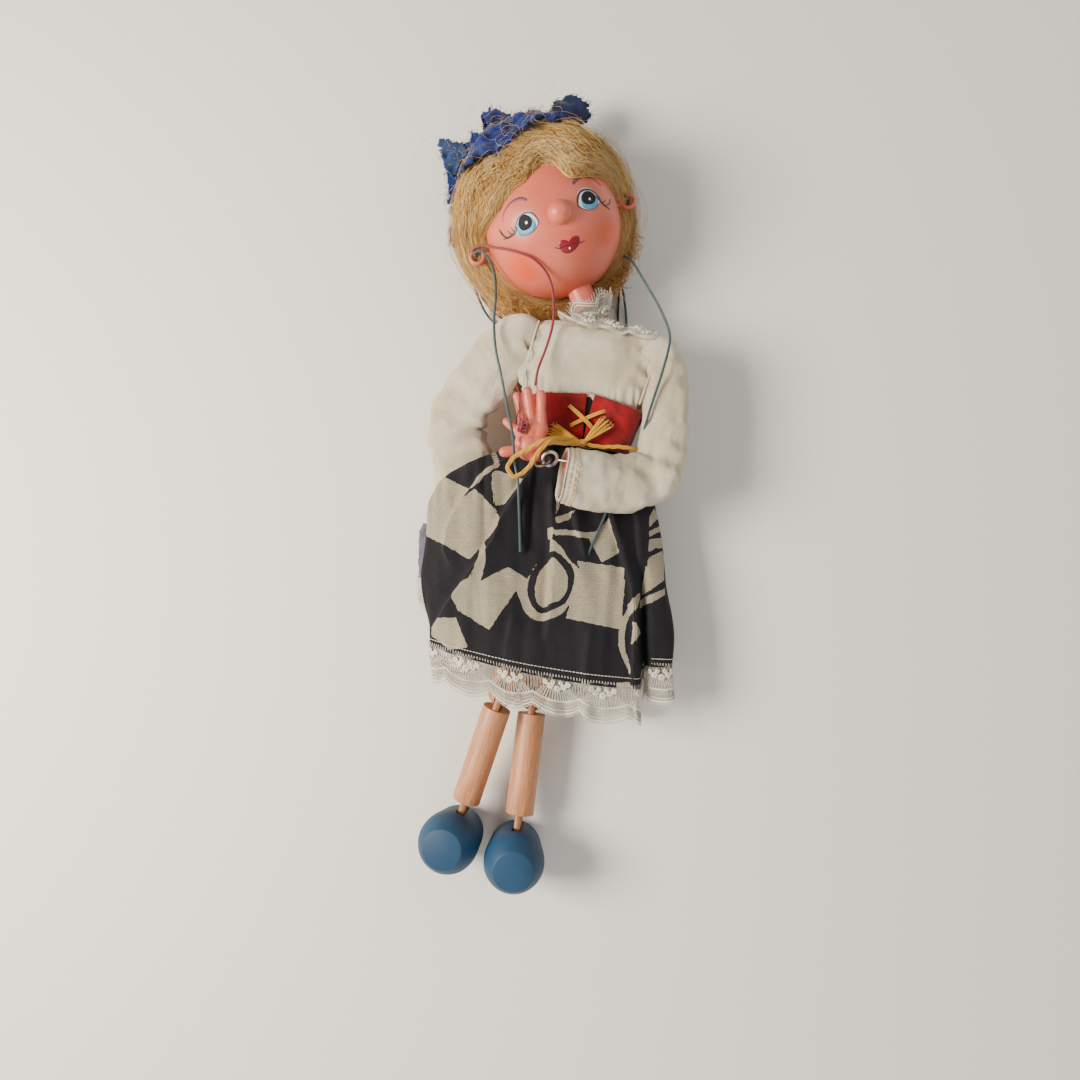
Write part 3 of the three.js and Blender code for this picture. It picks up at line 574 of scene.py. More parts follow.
KNEE = {"right": vec(-29.6, -91.5, 21.5), "left": vec(-18.6, -93.9, 13)}
SHIN = {"right": unit(vec(-18.1, -49.2, -8.7)), "left": unit(vec(-7.2, -53.1, -0.2))}
ANKLE = {side: KNEE[side] + 53.5 * SHIN[side] for side in KNEE}
TOE = {"right": unit(vec(-2.6, -1.6, 26.5)), "left": unit(vec(1.9, -4, 26.5))}


def on_chest(u, v, w):
    return CHEST + CHEST_AXES @ np.array([u, v, w], float)


# ---------- strings ----------
BAR_AXES = turn("Z", -8.5)
BAR = vec(0.5, -4.5, 0)
BAR_MIDDLE = 5.5
TURNS = 10
STRING_R = 0.5


def on_bar(x, y, z):
    return BAR + BAR_AXES @ np.array([x, y, z], float)


def winding(side, band, pitch):
    """Turns of string round the bar, going up on its right-hand side and down on its left."""
    a, b, r = 8.75, 4.75, 1.9
    outline = []
    for cx, cz, start in ((-a + r, b - r, 180), (a - r, b - r, 90), (a - r, -b + r, 0), (-a + r, -b + r, -90)):
        for t in np.linspace(start, start - 90, 5):
            outline.append((cx + r * math.cos(math.radians(t)), cz + r * math.sin(math.radians(t))))
    outline = np.array(outline + outline[:1])
    length = lengths(outline)
    start = length[10] + 1.5 if side > 0 else -1.5
    points = []
    for travelled in np.arange(1.5, TURNS * length[-1], 1.25):
        where = (start + travelled) % length[-1]
        x, z = np.interp(where, length, outline[:, 0]), np.interp(where, length, outline[:, 1])
        points.append(on_bar(x, band[1] - 0.8 - pitch * travelled / length[-1], BAR_MIDDLE + z))
    return points


ROUTES = {
    "head_string_right": ([(-36.8, 73.7, 33), (-37.4, 73.6, 28.4), (-38.6, 72.6, 22), (-38.6, 70, 13),
                           (-36.4, 66.4, 5), (-31, 62, 1.6), (-20, 57, 1.3), (-8.6, 51.8, 3)], -10.6, (5, 26.5), 2.1,
                           BLACK_YARN, "head_strings_winding"),
    "head_string_left": ([(21.4, 94.3, 28.6), (21.2, 93.4, 24.4), (20.4, 90.6, 18), (19.6, 86, 10), (18.6, 78, 4),
                          (17.6, 68, 1.6), (17, 58, 1.4)], 10.6, (5, 26.5), 2.1, BLACK_YARN, None),
    "hand_string_left": ([(-14, 19.2, 43.6), (-13.2, 25.4, 41.2), (-10, 35.9, 37), (-7.8, 44.2, 36.2),
                          (-7.2, 50.4, 37.6), (-7.8, 57.2, 40.2), (-9.8, 61.2, 44), (-13.7, 64.5, 47.1),
                          (-19.6, 67.4, 47), (-28.7, 72, 41.8), (-34.6, 75, 37.4), (-38.4, 75.6, 32.4),
                          (-40.4, 74.4, 24), (-40.2, 71.4, 14), (-37.6, 66.4, 4.4), (-31.6, 60.2, 1.4),
                          (-22, 54.6, 1.3), (-9.6, 49.4, 3)], -12.1, (-9, 1.5), 1.05, RED_YARN,
                          "hand_string_winding"),
    "leg_string_right": ([(-21.3, -39.7, 31), (-21.5, -26, 31.2), (-21.3, -15.7, 36.4), (-21.3, -12, 42),
                          (-21.3, -9.8, 47.4), (-21.5, -5.4, 48.6), (-21.8, 0.2, 48.7), (-23.5, 9.3, 48.4),
                          (-25.2, 17.5, 45), (-27.1, 26.2, 40), (-29.3, 36.2, 35.4), (-30.1, 46.9, 33),
                          (-29.5, 57.3, 32), (-29.8, 66, 35), (-33, 72.6, 35.4), (-36.2, 74.6, 33.6),
                          (-38.8, 73.4, 29), (-40.6, 71.4, 20), (-40, 67.6, 8), (-37, 61.4, 2.2), (-30, 54.4, 1.4),
                          (-20, 49.8, 1.4), (-10.6, 46.8, 3)], -13.6, (-34, -12.5), 2.1, GREEN_YARN,
                          "leg_strings_winding"),
    "leg_string_left": ([(0.8, -47.5, 30), (4.6, -38.7, 30.2), (9.6, -27.7, 28.9), (13.9, -17.2, 27.4),
                         (17, -12.4, 26.3), (19.8, -9, 25.4), (23.2, -4.4, 26.6), (24.4, 2, 31.4), (27, 10.6, 35.4),
                         (31.8, 24.3, 37.4), (34.7, 35, 37), (34.8, 39, 36.2), (32.2, 49.3, 32), (26.6, 62.8, 27),
                         (21.8, 72.4, 24.6), (18.6, 76.4, 18), (18, 74.4, 9), (19.6, 66, 3), (20.4, 56, 1.5)], 12.1,
                         (-34, -12.5), 2.1, GREEN_YARN, None),
}


def build_strings():
    for name, (route, beside, band, pitch, material, wound) in ROUTES.items():
        way = math.copysign(1, beside)
        bar = [on_bar(x, y, 6.3) for x, y in ((beside, 46), (beside, 36), (beside, band[1] + 6),
                                              (way * 9.4, band[1] + 1.8))]
        line = spline(list(route) + bar + winding(way, band, pitch), 0.7)
        piece = solid(name, tube(line, STRING_R), material)
        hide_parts(name, *([wound] if wound else []))
        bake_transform(piece)


build_strings()


# ---------- control ----------
def plank(name, length, width, low_z, high_z, place, mats, along=True):
    """A sawn bar with worn edges."""
    outline = []
    hw, hz, r = width / 2, (high_z - low_z) / 2, 1.1
    for cx, cz, s in ((hw - r, hz - r, 0), (-hw + r, hz - r, 90), (-hw + r, -hz + r, 180), (hw - r, -hz + r, 270)):
        outline += [(cx + r * math.cos(math.radians(s + t)), cz + r * math.sin(math.radians(s + t)))
                    for t in (0, 30, 60, 90)]
    rings = []
    for y, shrink in [(-length / 2, 0.93), (-length / 2 + 0.6, 1)] + [(t, 1)
            for t in np.linspace(-length / 2 + 2, length / 2 - 2, 16)] + [(length / 2 - 0.6, 1), (length / 2, 0.93)]:
        ring = []
        for x, z in outline:
            px, pz = x * shrink, z * shrink + (high_z + low_z) / 2
            ring.append(on_bar(px, place + y, pz) if along else on_bar(y, place - px, pz))
        rings.append(ring)
    return solid(name, loft(rings), mats, "control")


def build_control():
    bar = plank("bar_of_control", 101, 16, 1.5, 9.5, 0, BAR_WOOD)
    for place, width in ((35, 12), (-44.5, 10)):
        notch = box_object("notch", BAR_AXES, on_bar(0, place, 0), vec(40, width + 0.6, 10.6))
        cut(bar, [notch], bevel=0)
    settle(bar, None, ["control_bar"])
    cross = plank("crosspiece_of_control", 64, 12, 0, 5, 35, BAR_WOOD, along=False)
    settle(cross, None, ["control_crosspiece"])
    legs = plank("leg_bar_of_control", 52, 10, 0, 5, -44.5, BAR_WOOD, along=False)
    settle(legs, None, ["control_leg_bar"])


build_control()


# ---------- wire ----------
LOOP_R, WIRE_R = 2.6, 0.45  # the loops that join the wooden parts, and their wire


def wire_ring(centre, normal, radius, wire, sides=10, steps=32, squash=1.0):
    n = unit(normal)
    a = unit(np.cross(n, [0.3, 0.2, 0.9]))
    b = np.cross(n, a)
    t = full_turn(steps)
    path = centre + radius * (np.cos(t)[:, None] * a + squash * np.sin(t)[:, None] * b)
    return tube(path, wire, sides, closed=True)


def rod(start, end, radius, sides=10):
    return tube(np.stack([start, (np.asarray(start) + end) / 2, end]), radius, sides)


# ---------- head ----------
def on_head(azimuth, elevation, height=0.0):
    """A point over the head ball: degrees to the puppet's left and up from the middle of its face."""
    a, e = np.radians(azimuth), np.radians(elevation)
    d = np.stack([np.sin(a) * np.cos(e), np.sin(e) + 0 * a, np.cos(a) * np.cos(e)], -1)
    return HEAD + (HEAD_R + np.asarray(height)[..., None] if np.ndim(height) else HEAD_R + height) * (d @ TILT.T)


def build_ball():
    blush = [(on_head(-57, -29), 1.5, 9.5, 0.9, "dc4a05"), (on_head(-50, -33), 0.5, 6.5, 0.6, "d84605"),
             (on_head(45, -29), 1.5, 8.5, 0.9, "d54405"), (on_head(49, -24), 0.5, 6, 0.55, "d04004")]
    material = skin_material("face_skin", blush)
    theta = np.linspace(0, math.pi, 73)[1:-1]
    axes = TILT
    rings = [HEAD + HEAD_R * (math.cos(t) * axes[:, 1] + math.sin(t)
                              * (np.cos(p := full_turn(128))[:, None] * axes[:, 0] - np.sin(p)[:, None] * axes[:, 2]))
                              for t in theta]
    verts, faces, uv = loft(rings)
    make("head_turning", verts, faces, material, "head", ["head_ball"], uv)
    skin = skin_material()
    nose = HEAD + TILT @ vec(0, -1.35, HEAD_R - 0.2)
    bead = []
    for t in np.linspace(0.02, 1.75, 26):
        p = full_turn(48)
        bead.append(nose + 4.35 * (math.cos(t) * TILT[:, 2] + math.sin(t)
                                   * (np.cos(p)[:, None] * TILT[:, 0] + np.sin(p)[:, None] * TILT[:, 1])))
    solid("nose", loft(bead), skin, "head", ["nose_bead"])
    surface = np.linalg.norm(HEAD - NECK) - HEAD_R
    axes = frame_along(NECK, HEAD, vec(0, 0, 1))
    profile = rounded_profile([(0.01, 8.4), (4.7, 8.4), (4.7, surface + 7), (0.01, surface + 7)], 0.8)
    solid("neck", lathe(axes, NECK, profile, 48), skin, "head", ["neck_dowel"])
    for side, way in (("right", -1), ("left", 1)):
        centre = HEAD + way * 30.9 * TILT[:, 0]
        ear = Parts().add(wire_ring(centre, [0, 0, 1], 2.45, 0.78, 12, 40)).add(rod(HEAD + way * 19.8 * TILT[:, 0],
                centre - way * 2.4 * TILT[:, 0], 0.75, 12))
        ear.build(f"ear_{side}", skin, "head", [f"ear_eye_{side}"])
        knot = Parts()
        for i in range(7):
            c = centre - way * 0.9 * TILT[:, 0] + TILT[:, 1] * (2.3 + 0.28 * i) + rng.normal(0, 0.18, 3)
            knot.add(wire_ring(c, unit(rng.normal(size=3)), 0.75 + 0.12 * rng.random(), 0.2, 6, 18))
        for i in range(3):
            s = centre + TILT[:, 1] * 3.6 - way * 0.8 * TILT[:, 0]
            knot.add(tube(spline([s, s + rng.normal(0, 0.5, 3) + TILT[:, 1] * 1.1,
                                  s + TILT[:, 1] * (2 + i * 0.5) + rng.normal(0, 0.8, 3)], 0.4), 0.2, 6))
        knot.build(f"ear_knot_{side}", BLACK_YARN, "head")
    across = CHEST_AXES[:, 0]
    front = unit(np.cross(NECK_WAY, across))
    link = Parts().add(wire_ring(NECK + 2.6 * NECK_WAY, front, LOOP_R, WIRE_R))
    link.build("neck_link_ring", STEEL, "neck_link", ["neck_ring"])
    loop = NECK + 5.2 * NECK_WAY
    Parts().add(wire_ring(loop, np.cross(front, NECK_WAY), 2.1, 0.45)).add(rod(loop + 2.1 * NECK_WAY,
            NECK + 13.5 * NECK_WAY, 0.5)).build("neck_eye", STEEL, "head", ["neck_screw_eye"])


def pad(outline, height, rings=5):
    """A thin layer of paint on the head, filled from its middle. The outline is (azimuth, elevation) pairs."""
    edge = spline([(a, e, 0) for a, e in outline], 0.7, closed=True)[:-1, :2]
    middle = edge.mean(0)
    n = len(edge)
    verts = [on_head(middle[0], middle[1], height)[None]]
    for s in np.linspace(0, 1, rings + 1)[1:]:
        q = middle + (edge - middle) * s
        verts.append(on_head(q[:, 0], q[:, 1], height))
    verts.append(on_head(edge[:, 0], edge[:, 1], -0.12))
    faces = [(0, 1 + i, 1 + (i + 1) % n) for i in range(n)]
    for r in range(rings):
        a, b = 1 + r * n, 1 + (r + 1) * n
        faces += [(a + i, b + i, b + (i + 1) % n, a + (i + 1) % n) for i in range(n)]
    base = 1 + rings * n
    faces.append(tuple(base + i for i in range(n))[::-1])
    return np.concatenate(verts), faces, None


def stroke(points, widths, height):
    """A brush stroke on the head: a band in degrees with a width, in millimetres, at each point."""
    line = spline([(a, e, w) for (a, e), w in zip(points, widths)], 0.8)
    way = np.gradient(line[:, :2], axis=0)
    way /= np.maximum(np.linalg.norm(way, axis=1, keepdims=True), 1e-9)
    side = np.stack([-way[:, 1], way[:, 0]], 1)
    half = np.maximum(line[:, 2], 0.06) / 2 / HEAD_R * 57.3
    columns = []
    for s, h in ((-1, -0.12), (-1, height), (-0.5, height + 0.02), (0.5, height + 0.02), (1, height), (1, -0.12)):
        q = line[:, :2] + side * (half * s)[:, None]
        columns.append(on_head(q[:, 0], q[:, 1], h))
    rings = np.stack(columns, 1)
    return loft(rings)


def build_face():
    white = flat_paint("eye_white", "f2efe8")
    look = Look("iris", 0.5)
    blue = look.base(look.ramp(look.noise(260, 3), (0.3, colour("2a82ad")), (0.65, colour("58a9cb"))))
    black, pupil = flat_paint("lash_black", "2a2624", 0.35), flat_paint("pupil", "0b0d0e", 0.8)
    lilac, violet = flat_paint("lid_lilac", "b9a3bb", 0.4), flat_paint("brow_violet", "694150", 0.45)
    lips, lip_dark, shine = flat_paint("lip_red", "8c1024", 0.3), flat_paint("lip_line", "5d1520",
            0.4), flat_paint("highlight", "ffffff", 0.2)
    face = Parts()
    W, B, K, P, L, V, R, D, H = range(9)
    # right eye
    face.add(pad([(-39.2, -2.2), (-37.2, 1.8), (-33.6, 4.9), (-28.6, 6.5), (-24.1, 6.1), (-20.6, 3.4), (-18.2, -2.6),
                  (-18.8, -5), (-21.8, -7), (-26.4, -8.5), (-32.6, -8.2), (-37, -5.8)], 0.05), W)
    face.add(pad([(-37.6, -4.5), (-36.8, 0.5), (-33.5, 3.6), (-28.5, 5.2), (-24, 4), (-21.4, 0), (-20.6, -4),
                  (-22.4, -7), (-26.4, -8.5), (-32.4, -8.2), (-36, -6.6)], 0.09), B)
    face.add(pad([(-22.8, -1.2), (-23.6, 2.8), (-26.5, 6), (-30.4, 6), (-33.8, 3.2), (-34.6, -0.8), (-33, -4.2),
                  (-29.8, -5.2), (-25.4, -4.6)], 0.13), P)
    face.add(pad([(-26.4, -0.4), (-27.2, 0.9), (-28.5, 0.4), (-28.6, -1), (-27.4, -1.5)], 0.17, 2), H)
    face.add(stroke([(-39.6, -2.6), (-37.4, 1.4), (-33.6, 5.1), (-28.6, 6.9), (-24.1, 6.6), (-20.4, 3.8), (-18.4, -1),
                     (-17.9, -4.2)], [0.5, 0.5, 0.45, 0.5, 0.5, 0.45, 0.35, 0.2], 0.16), K)
    face.add(stroke([(-36.6, 3.6), (-33.4, 6.6), (-28.2, 8.1), (-23.6, 7.4), (-20, 4.8)], [0.15, 0.4, 0.5, 0.4, 0.1],
                    0.14), L)
    face.add(stroke([(-18.2, -4.4), (-21.8, -7.3), (-26.4, -8.9), (-32.6, -8.6), (-37.4, -6)],
                    [0.12, 0.15, 0.15, 0.15, 0.1], 0.14), K)
    face.add(stroke([(-37.4, 0.6), (-39.2, -2.2), (-44.3, -3.2), (-49.8, -2.9), (-54.6, -1.4)],
                    [0.7, 1.0, 0.75, 0.55, 0.15], 0.17), K)
    face.add(stroke([(-54.6, 6.8), (-53.3, 2.6), (-51.6, -0.4), (-48.6, -3)], [0.2, 0.7, 0.6, 0.4], 0.17), K)
    face.add(stroke([(-45.8, 2), (-44.8, -0.9), (-42.8, -3.2)], [0.12, 0.45, 0.4], 0.17), K)
    face.add(stroke([(-41.6, 2.4), (-41.2, -0.2), (-39.8, -2.4)], [0.12, 0.4, 0.4], 0.17), K)
    # left eye
    face.add(pad([(16.2, -2.6), (17.4, 1.4), (21.2, 5.9), (27, 7.4), (31.9, 6.6), (35.8, 3.4), (37.4, -0.3),
                  (38.2, -2.2), (35.6, -4.6), (30.9, -7.4), (24.3, -7.8), (18.8, -5.6)], 0.05), W)
    face.add(pad([(19.4, -3.8), (20, 1), (22.5, 4.5), (27, 5.6), (32, 4.8), (35.6, 1.8), (36.8, -1), (35.4, -4.4),
                  (31, -7.3), (25, -7.6), (21, -6)], 0.09), B)
    face.add(pad([(34.9, 0.2), (33.6, 4), (29.8, 6.4), (24.8, 6), (21.2, 3), (20.6, -0.6), (22.6, -3), (26.4, -4),
                  (31.6, -3.2)], 0.13), P)
    face.add(pad([(29.2, 0.1), (28.4, 1.1), (27.4, 0.4), (27.4, -0.8), (28.6, -1)], 0.17, 2), H)
    face.add(stroke([(15.9, -3), (17, 1.4), (20.9, 6.2), (26.9, 7.8), (32, 7), (36, 3.8), (37.8, 0), (38.6, -2.4)],
                    [0.3, 0.7, 0.55, 0.5, 0.45, 0.45, 0.4, 0.3], 0.16), K)
    face.add(stroke([(18.4, 5.4), (22.5, 8.6), (27.6, 9.2), (32.4, 8.2), (36, 5.4)], [0.1, 0.4, 0.5, 0.4, 0.1], 0.14),
             L)
    face.add(stroke([(16, -3), (18.8, -5.9), (24.3, -8.1), (30.9, -7.7), (35.8, -4.8)], [0.35, 0.2, 0.15, 0.12, 0.1],
                    0.14), K)
    face.add(stroke([(36.2, 1.6), (38.4, -2.2), (40.9, -5.1), (44.2, -7.5), (48.8, -9.6)], [0.5, 0.8, 0.65, 0.5, 0.2],
                    0.17), K)
    face.add(stroke([(38.6, 1), (39.1, -1.6), (39.6, -3.6)], [0.12, 0.4, 0.35], 0.17), K)
    face.add(stroke([(45.8, -2.4), (43.4, -3.8), (40.2, -4.3)], [0.12, 0.4, 0.4], 0.17), K)
    face.add(stroke([(54.8, -1.4), (51.2, -4.8), (44.6, -6.8)], [0.15, 0.5, 0.4], 0.17), K)
    # brows
    face.add(stroke([(-48.6, 10), (-45.4, 16), (-39.3, 19.6), (-33, 20.9), (-26.8, 19.8), (-21.6, 16.2)],
                    [0.1, 0.45, 0.75, 0.95, 1.3, 1.0], 0.12), V)
    face.add(stroke([(18.9, 14.8), (22.6, 17.3), (28.8, 19), (36.8, 18.8), (43.2, 16.2), (48.4, 9.8)],
                    [0.9, 1.25, 0.75, 0.6, 0.4, 0.1], 0.12), V)
    # mouth
    face.add(pad([(-9.4, -27.4), (-8.6, -24.6), (-5.4, -23.3), (-1.9, -24.6), (-0.4, -26.2), (3.1, -24.1),
                  (7.3, -23.6), (9.7, -25.9), (8.9, -30), (4.4, -33.4), (-1.6, -34.9), (-6.3, -34), (-8.9, -31.2)],
                  0.1), R)
    face.add(stroke([(-13.8, -26.1), (-10.8, -28.3), (-4.7, -28.5), (0, -28.9), (6, -29.2), (10.3, -30),
                     (15.2, -29.2)], [0.12, 0.4, 0.4, 0.4, 0.4, 0.3, 0.1], 0.13), D)
    face.add(pad([(-0.1, -31.3), (-0.9, -30.4), (-1.9, -31.2), (-1.2, -32.4)], 0.15, 2), H)
    face.build("painted_face", [white, blue, black, pupil, lilac, violet, lips, lip_dark, shine], "head")


build_ball()
build_face()


# ---------- legs ----------
def build_leg(side):
    hip, knee, ankle = HIP[side], KNEE[side], ANKLE[side]
    shin_axes = frame_along(knee, ankle, vec(0, 0, 1))
    thigh_axes = frame_along(hip, knee, vec(0, 0, 1))
    length = np.linalg.norm(knee - hip)
    profile = [(0.05, 7.8), (5.0, 7.8), (5.3, 8.2)] + [(5.3, h) for h in np.linspace(12, length, 12)]
    profile += [(5.3 * math.cos(t), length + 5.3 * math.sin(t)) for t in np.linspace(0.15, 1.5, 9)]
    thigh = solid(f"upper_leg_{side}", lathe(thigh_axes, hip, profile, 40), WOOD)
    cut(thigh, [disc_object("slot", shin_axes, knee, 8.7, 3.2)])
    tongue = Parts()
    t = np.linspace(-math.pi / 2, math.pi / 2, 13)
    outline = [(-3.4 * math.sin(a), 3.4 * math.cos(a)) for a in t] + [(-3.4, -9.2), (3.4, -9.2)]
    rings = [[hip + HIP_AXES @ vec(w, y, z) for z, y in outline] for w in (-1.5, 1.5)]
    tongue.add(loft(rings, flip=True))
    tongue.build(f"hip_tongue_{side}", WOOD, f"thigh_{side}")
    settle(thigh, f"thigh_{side}", [f"thigh_{side}"])

    profile = rounded_profile([(0.05, 6.2), (5.3, 6.2), (5.3, 20), (5.3, 32), (5.3, 43.9), (0.05, 43.9)], 0.35)
    shin = solid(f"lower_leg_{side}", lathe(shin_axes, knee, profile, 64), WOOD)
    cut(shin, [box_object("channel", shin_axes, knee + shin_axes[:, 1] * 25, vec(2.8, 60, 8.5))], bevel=0.15)
    settle(shin, f"shin_{side}", [f"shin_{side}"])
    strip = Parts()
    outline = [(4 * math.cos(a), -4 * math.sin(a)) for a in np.linspace(0, math.pi, 17)]
    outline = [(x, y) for x, y in outline] + [(-x, 53.5 - y) for x, y in outline]
    edge = spline([(x, y, 0) for x, y in outline], 1.2, closed=True)[:-1]
    rings = []
    for w, s in ((-1.25, 0.94), (-1.1, 1), (1.1, 1), (1.25, 0.94)):
        rings.append([knee + shin_axes @ vec(w, y + (0.2 if y < 5 else -0.2 if y > 48 else 0) * (1 - s) * 10, z * s)
                      for z, y, _ in edge])
    strip.add(loft(rings))
    piece = strip.build(f"strip_{side}", DARK_WOOD, f"shin_{side}", [f"shin_strip_{side}"])
    x = shin_axes[:, 0]
    Parts().add(rod(knee - x * 4.9, knee + x * 4.9, 0.8, 16)).build(f"pin_of_knee_{side}", STEEL, f"thigh_{side}",
            [f"knee_pin_{side}"])
    Parts().add(rod(ankle - x * 7.4, ankle + x * 7.4, 0.8, 16)).build(f"pin_of_ankle_{side}", STEEL, f"foot_{side}",
            [f"ankle_pin_{side}"])

    foot = frame_along(ankle, ankle + TOE[side], -SHIN[side])
    side_ = spline([(7.2, 0, 0), (9, 1.4, 0), (9.8, 4, 0), (10.3, 8.5, 0), (11, 14, 0), (11.3, 18, 0),
                    (11.1, 20.6, 0), (10.4, 22.8, 0)], 0.8)[:, :2].tolist()
    profile = [(0.05, 0)] + side_ + [(9.2, 25), (7.55, 27.3), (7.35, 27.5), (7.1, 27.6), (0.05, 27.6)]
    origin = ankle - foot[:, 1] * 11 - foot[:, 2] * 5.4
    shoe = solid(f"shoe_{side}", lathe(foot, origin, profile, 72), SHOE)
    cut(shoe, [disc_object("slot", shin_axes, ankle, 9.1, 3.2)], bevel=0.3)
    settle(shoe, f"foot_{side}", [f"foot_{side}"])


build_leg("right")
build_leg("left")


# ---------- hair ----------
HAIR_CENTRE, HAIR_RADII = vec(-11.5, 90, 20.5), vec(33.5, 35, 20.2)
# (azimuth, elevation) where the hair meets the head, from its right ear over the brow
# to its left one and back under the chin
HAIRLINE = [(-86, 9), (-80, 16), (-58, 18), (-44, 27), (-24, 36), (-7, 46), (3.5, 49), (11, 46), (18, 42), (19, 32),
            (23, 26), (34, 22),
            (46, 21), (60, 19.5), (74, 14), (87, 7), (95, -5), (98, -30), (112, -57), (180, -74), (-112, -57),
            (-98, -30), (-93, -5)]


def hair_lines():
    """Where the hair starts on the head and where its outline is, for each degree round the face."""
    line = spline([HEAD_R * vec(math.sin(math.radians(a)) * math.cos(math.radians(e)), math.sin(math.radians(e)),
                                math.cos(math.radians(a)) * math.cos(math.radians(e))) for a, e in HAIRLINE], 0.5,
                                closed=True)[:-1]
    angle = np.degrees(np.arctan2(line[:, 1], line[:, 0])) % 360
    order = np.argsort(angle)
    degrees = np.arange(361)
    inner = np.stack([np.interp(degrees, angle[order], line[order, i], period=360) for i in range(3)], 1)
    wide = np.concatenate([inner[-8:-1], inner, inner[1:8]])
    inner = np.stack([np.convolve(wide[:, i], np.ones(7) / 7, "same")[7:-7] for i in range(3)], 1)
    inner = HEAD + inner @ TILT.T
    way = np.radians(degrees + 19.5)
    d = np.stack([np.cos(way), np.sin(way)], 1)
    off = (HEAD - HAIR_CENTRE)[:2] / HAIR_RADII[:2]
    e = d / HAIR_RADII[:2]
    a, b, c = (e * e).sum(1), (e * off).sum(1), (off * off).sum() - 1
    reach = (-b + np.sqrt(b * b - a * c)) / a
    under = smooth(1 - np.abs((degrees - 270 + 180) % 360 - 180) / 95)
    outer = np.concatenate([HEAD[:2] + d * reach[:, None], (HAIR_CENTRE[2] - 6 * under)[:, None]], 1)
    return inner, outer


HAIR_INNER, HAIR_OUTER = hair_lines()


def hair_point(degrees, level, lift=0.0):
    """level: 0 at the face, 1 at the outline, 2 at the middle of the back."""
    at = np.mod(degrees, 360)
    inner = np.stack([np.interp(at, np.arange(361), HAIR_INNER[:, i]) for i in range(3)], -1)
    outer = np.stack([np.interp(at, np.arange(361), HAIR_OUTER[:, i]) for i in range(3)], -1)
    back = HAIR_CENTRE + vec(-1, 2, -HAIR_CENTRE[2] + 1.2) + 0 * inner
    level = np.asarray(level, float)[..., None] + 0 * inner[..., :1]
    a = np.clip(level, -0.3, 1) * math.pi / 2
    b = np.clip(level - 1, 0, 1) * math.pi / 2
    rise = inner[..., 2:] - outer[..., 2:]
    front = np.concatenate([inner[..., :2] + (outer[..., :2] - inner[..., :2]) * np.sin(a),
                            outer[..., 2:] + rise * np.cos(a)], -1)
    rear = np.concatenate([outer[..., :2] + (back[..., :2] - outer[..., :2]) * (1 - np.cos(b)),
                           outer[..., 2:] + (back[..., 2:] - outer[..., 2:]) * np.sin(b)], -1)
    p = np.where(level > 1, rear, front)
    away = p - (HAIR_CENTRE * vec(1, 1, 0) + vec(0, 0, 19))
    away /= np.linalg.norm(away, axis=-1, keepdims=True)
    return p + away * np.asarray(lift, float)[..., None]


def hair_material(name, dark, mid, light):
    look = Look(name, 0.5, Sheen_Weight=0.15, Sheen_Roughness=0.4)
    tint = look.node("ShaderNodeAttribute", 2, {"attribute_name": "tint"})
    tone = look.ramp(tint, (0.05, colour(dark)), (0.45, colour(mid)), (0.9, colour(light)))
    fine = look.noise(1.0, 4, 0.6, look.place("UV", (5, 0.15, 1)))
    tone = look.mix(0.45, tone, look.ramp(fine, (0.3, colour(dark)), (0.6, (1, 1, 1, 1))), "MULTIPLY")
    look.bump((fine, 0.35))
    return look.base(tone)


HAIR = hair_material("mohair", "8a4d10", "f0aa3c", "ffe39c")


def hair_tone_and_painted_shade(points, spread):
    """Pale on top and in front, brown at the ends behind the chin and darker low down near the floor: painted light
    and shade over the tone that the spread gives.
    """
    # painted shade: darker below the middle of the head towards the chin, and low down near the floor
    low = smooth((82 - points[..., 1]) / 22)
    deep = smooth((24 - points[..., 2]) / 16)
    return np.clip(0.66 - 0.42 * low - 0.16 * deep + spread, 0.02, 0.98)


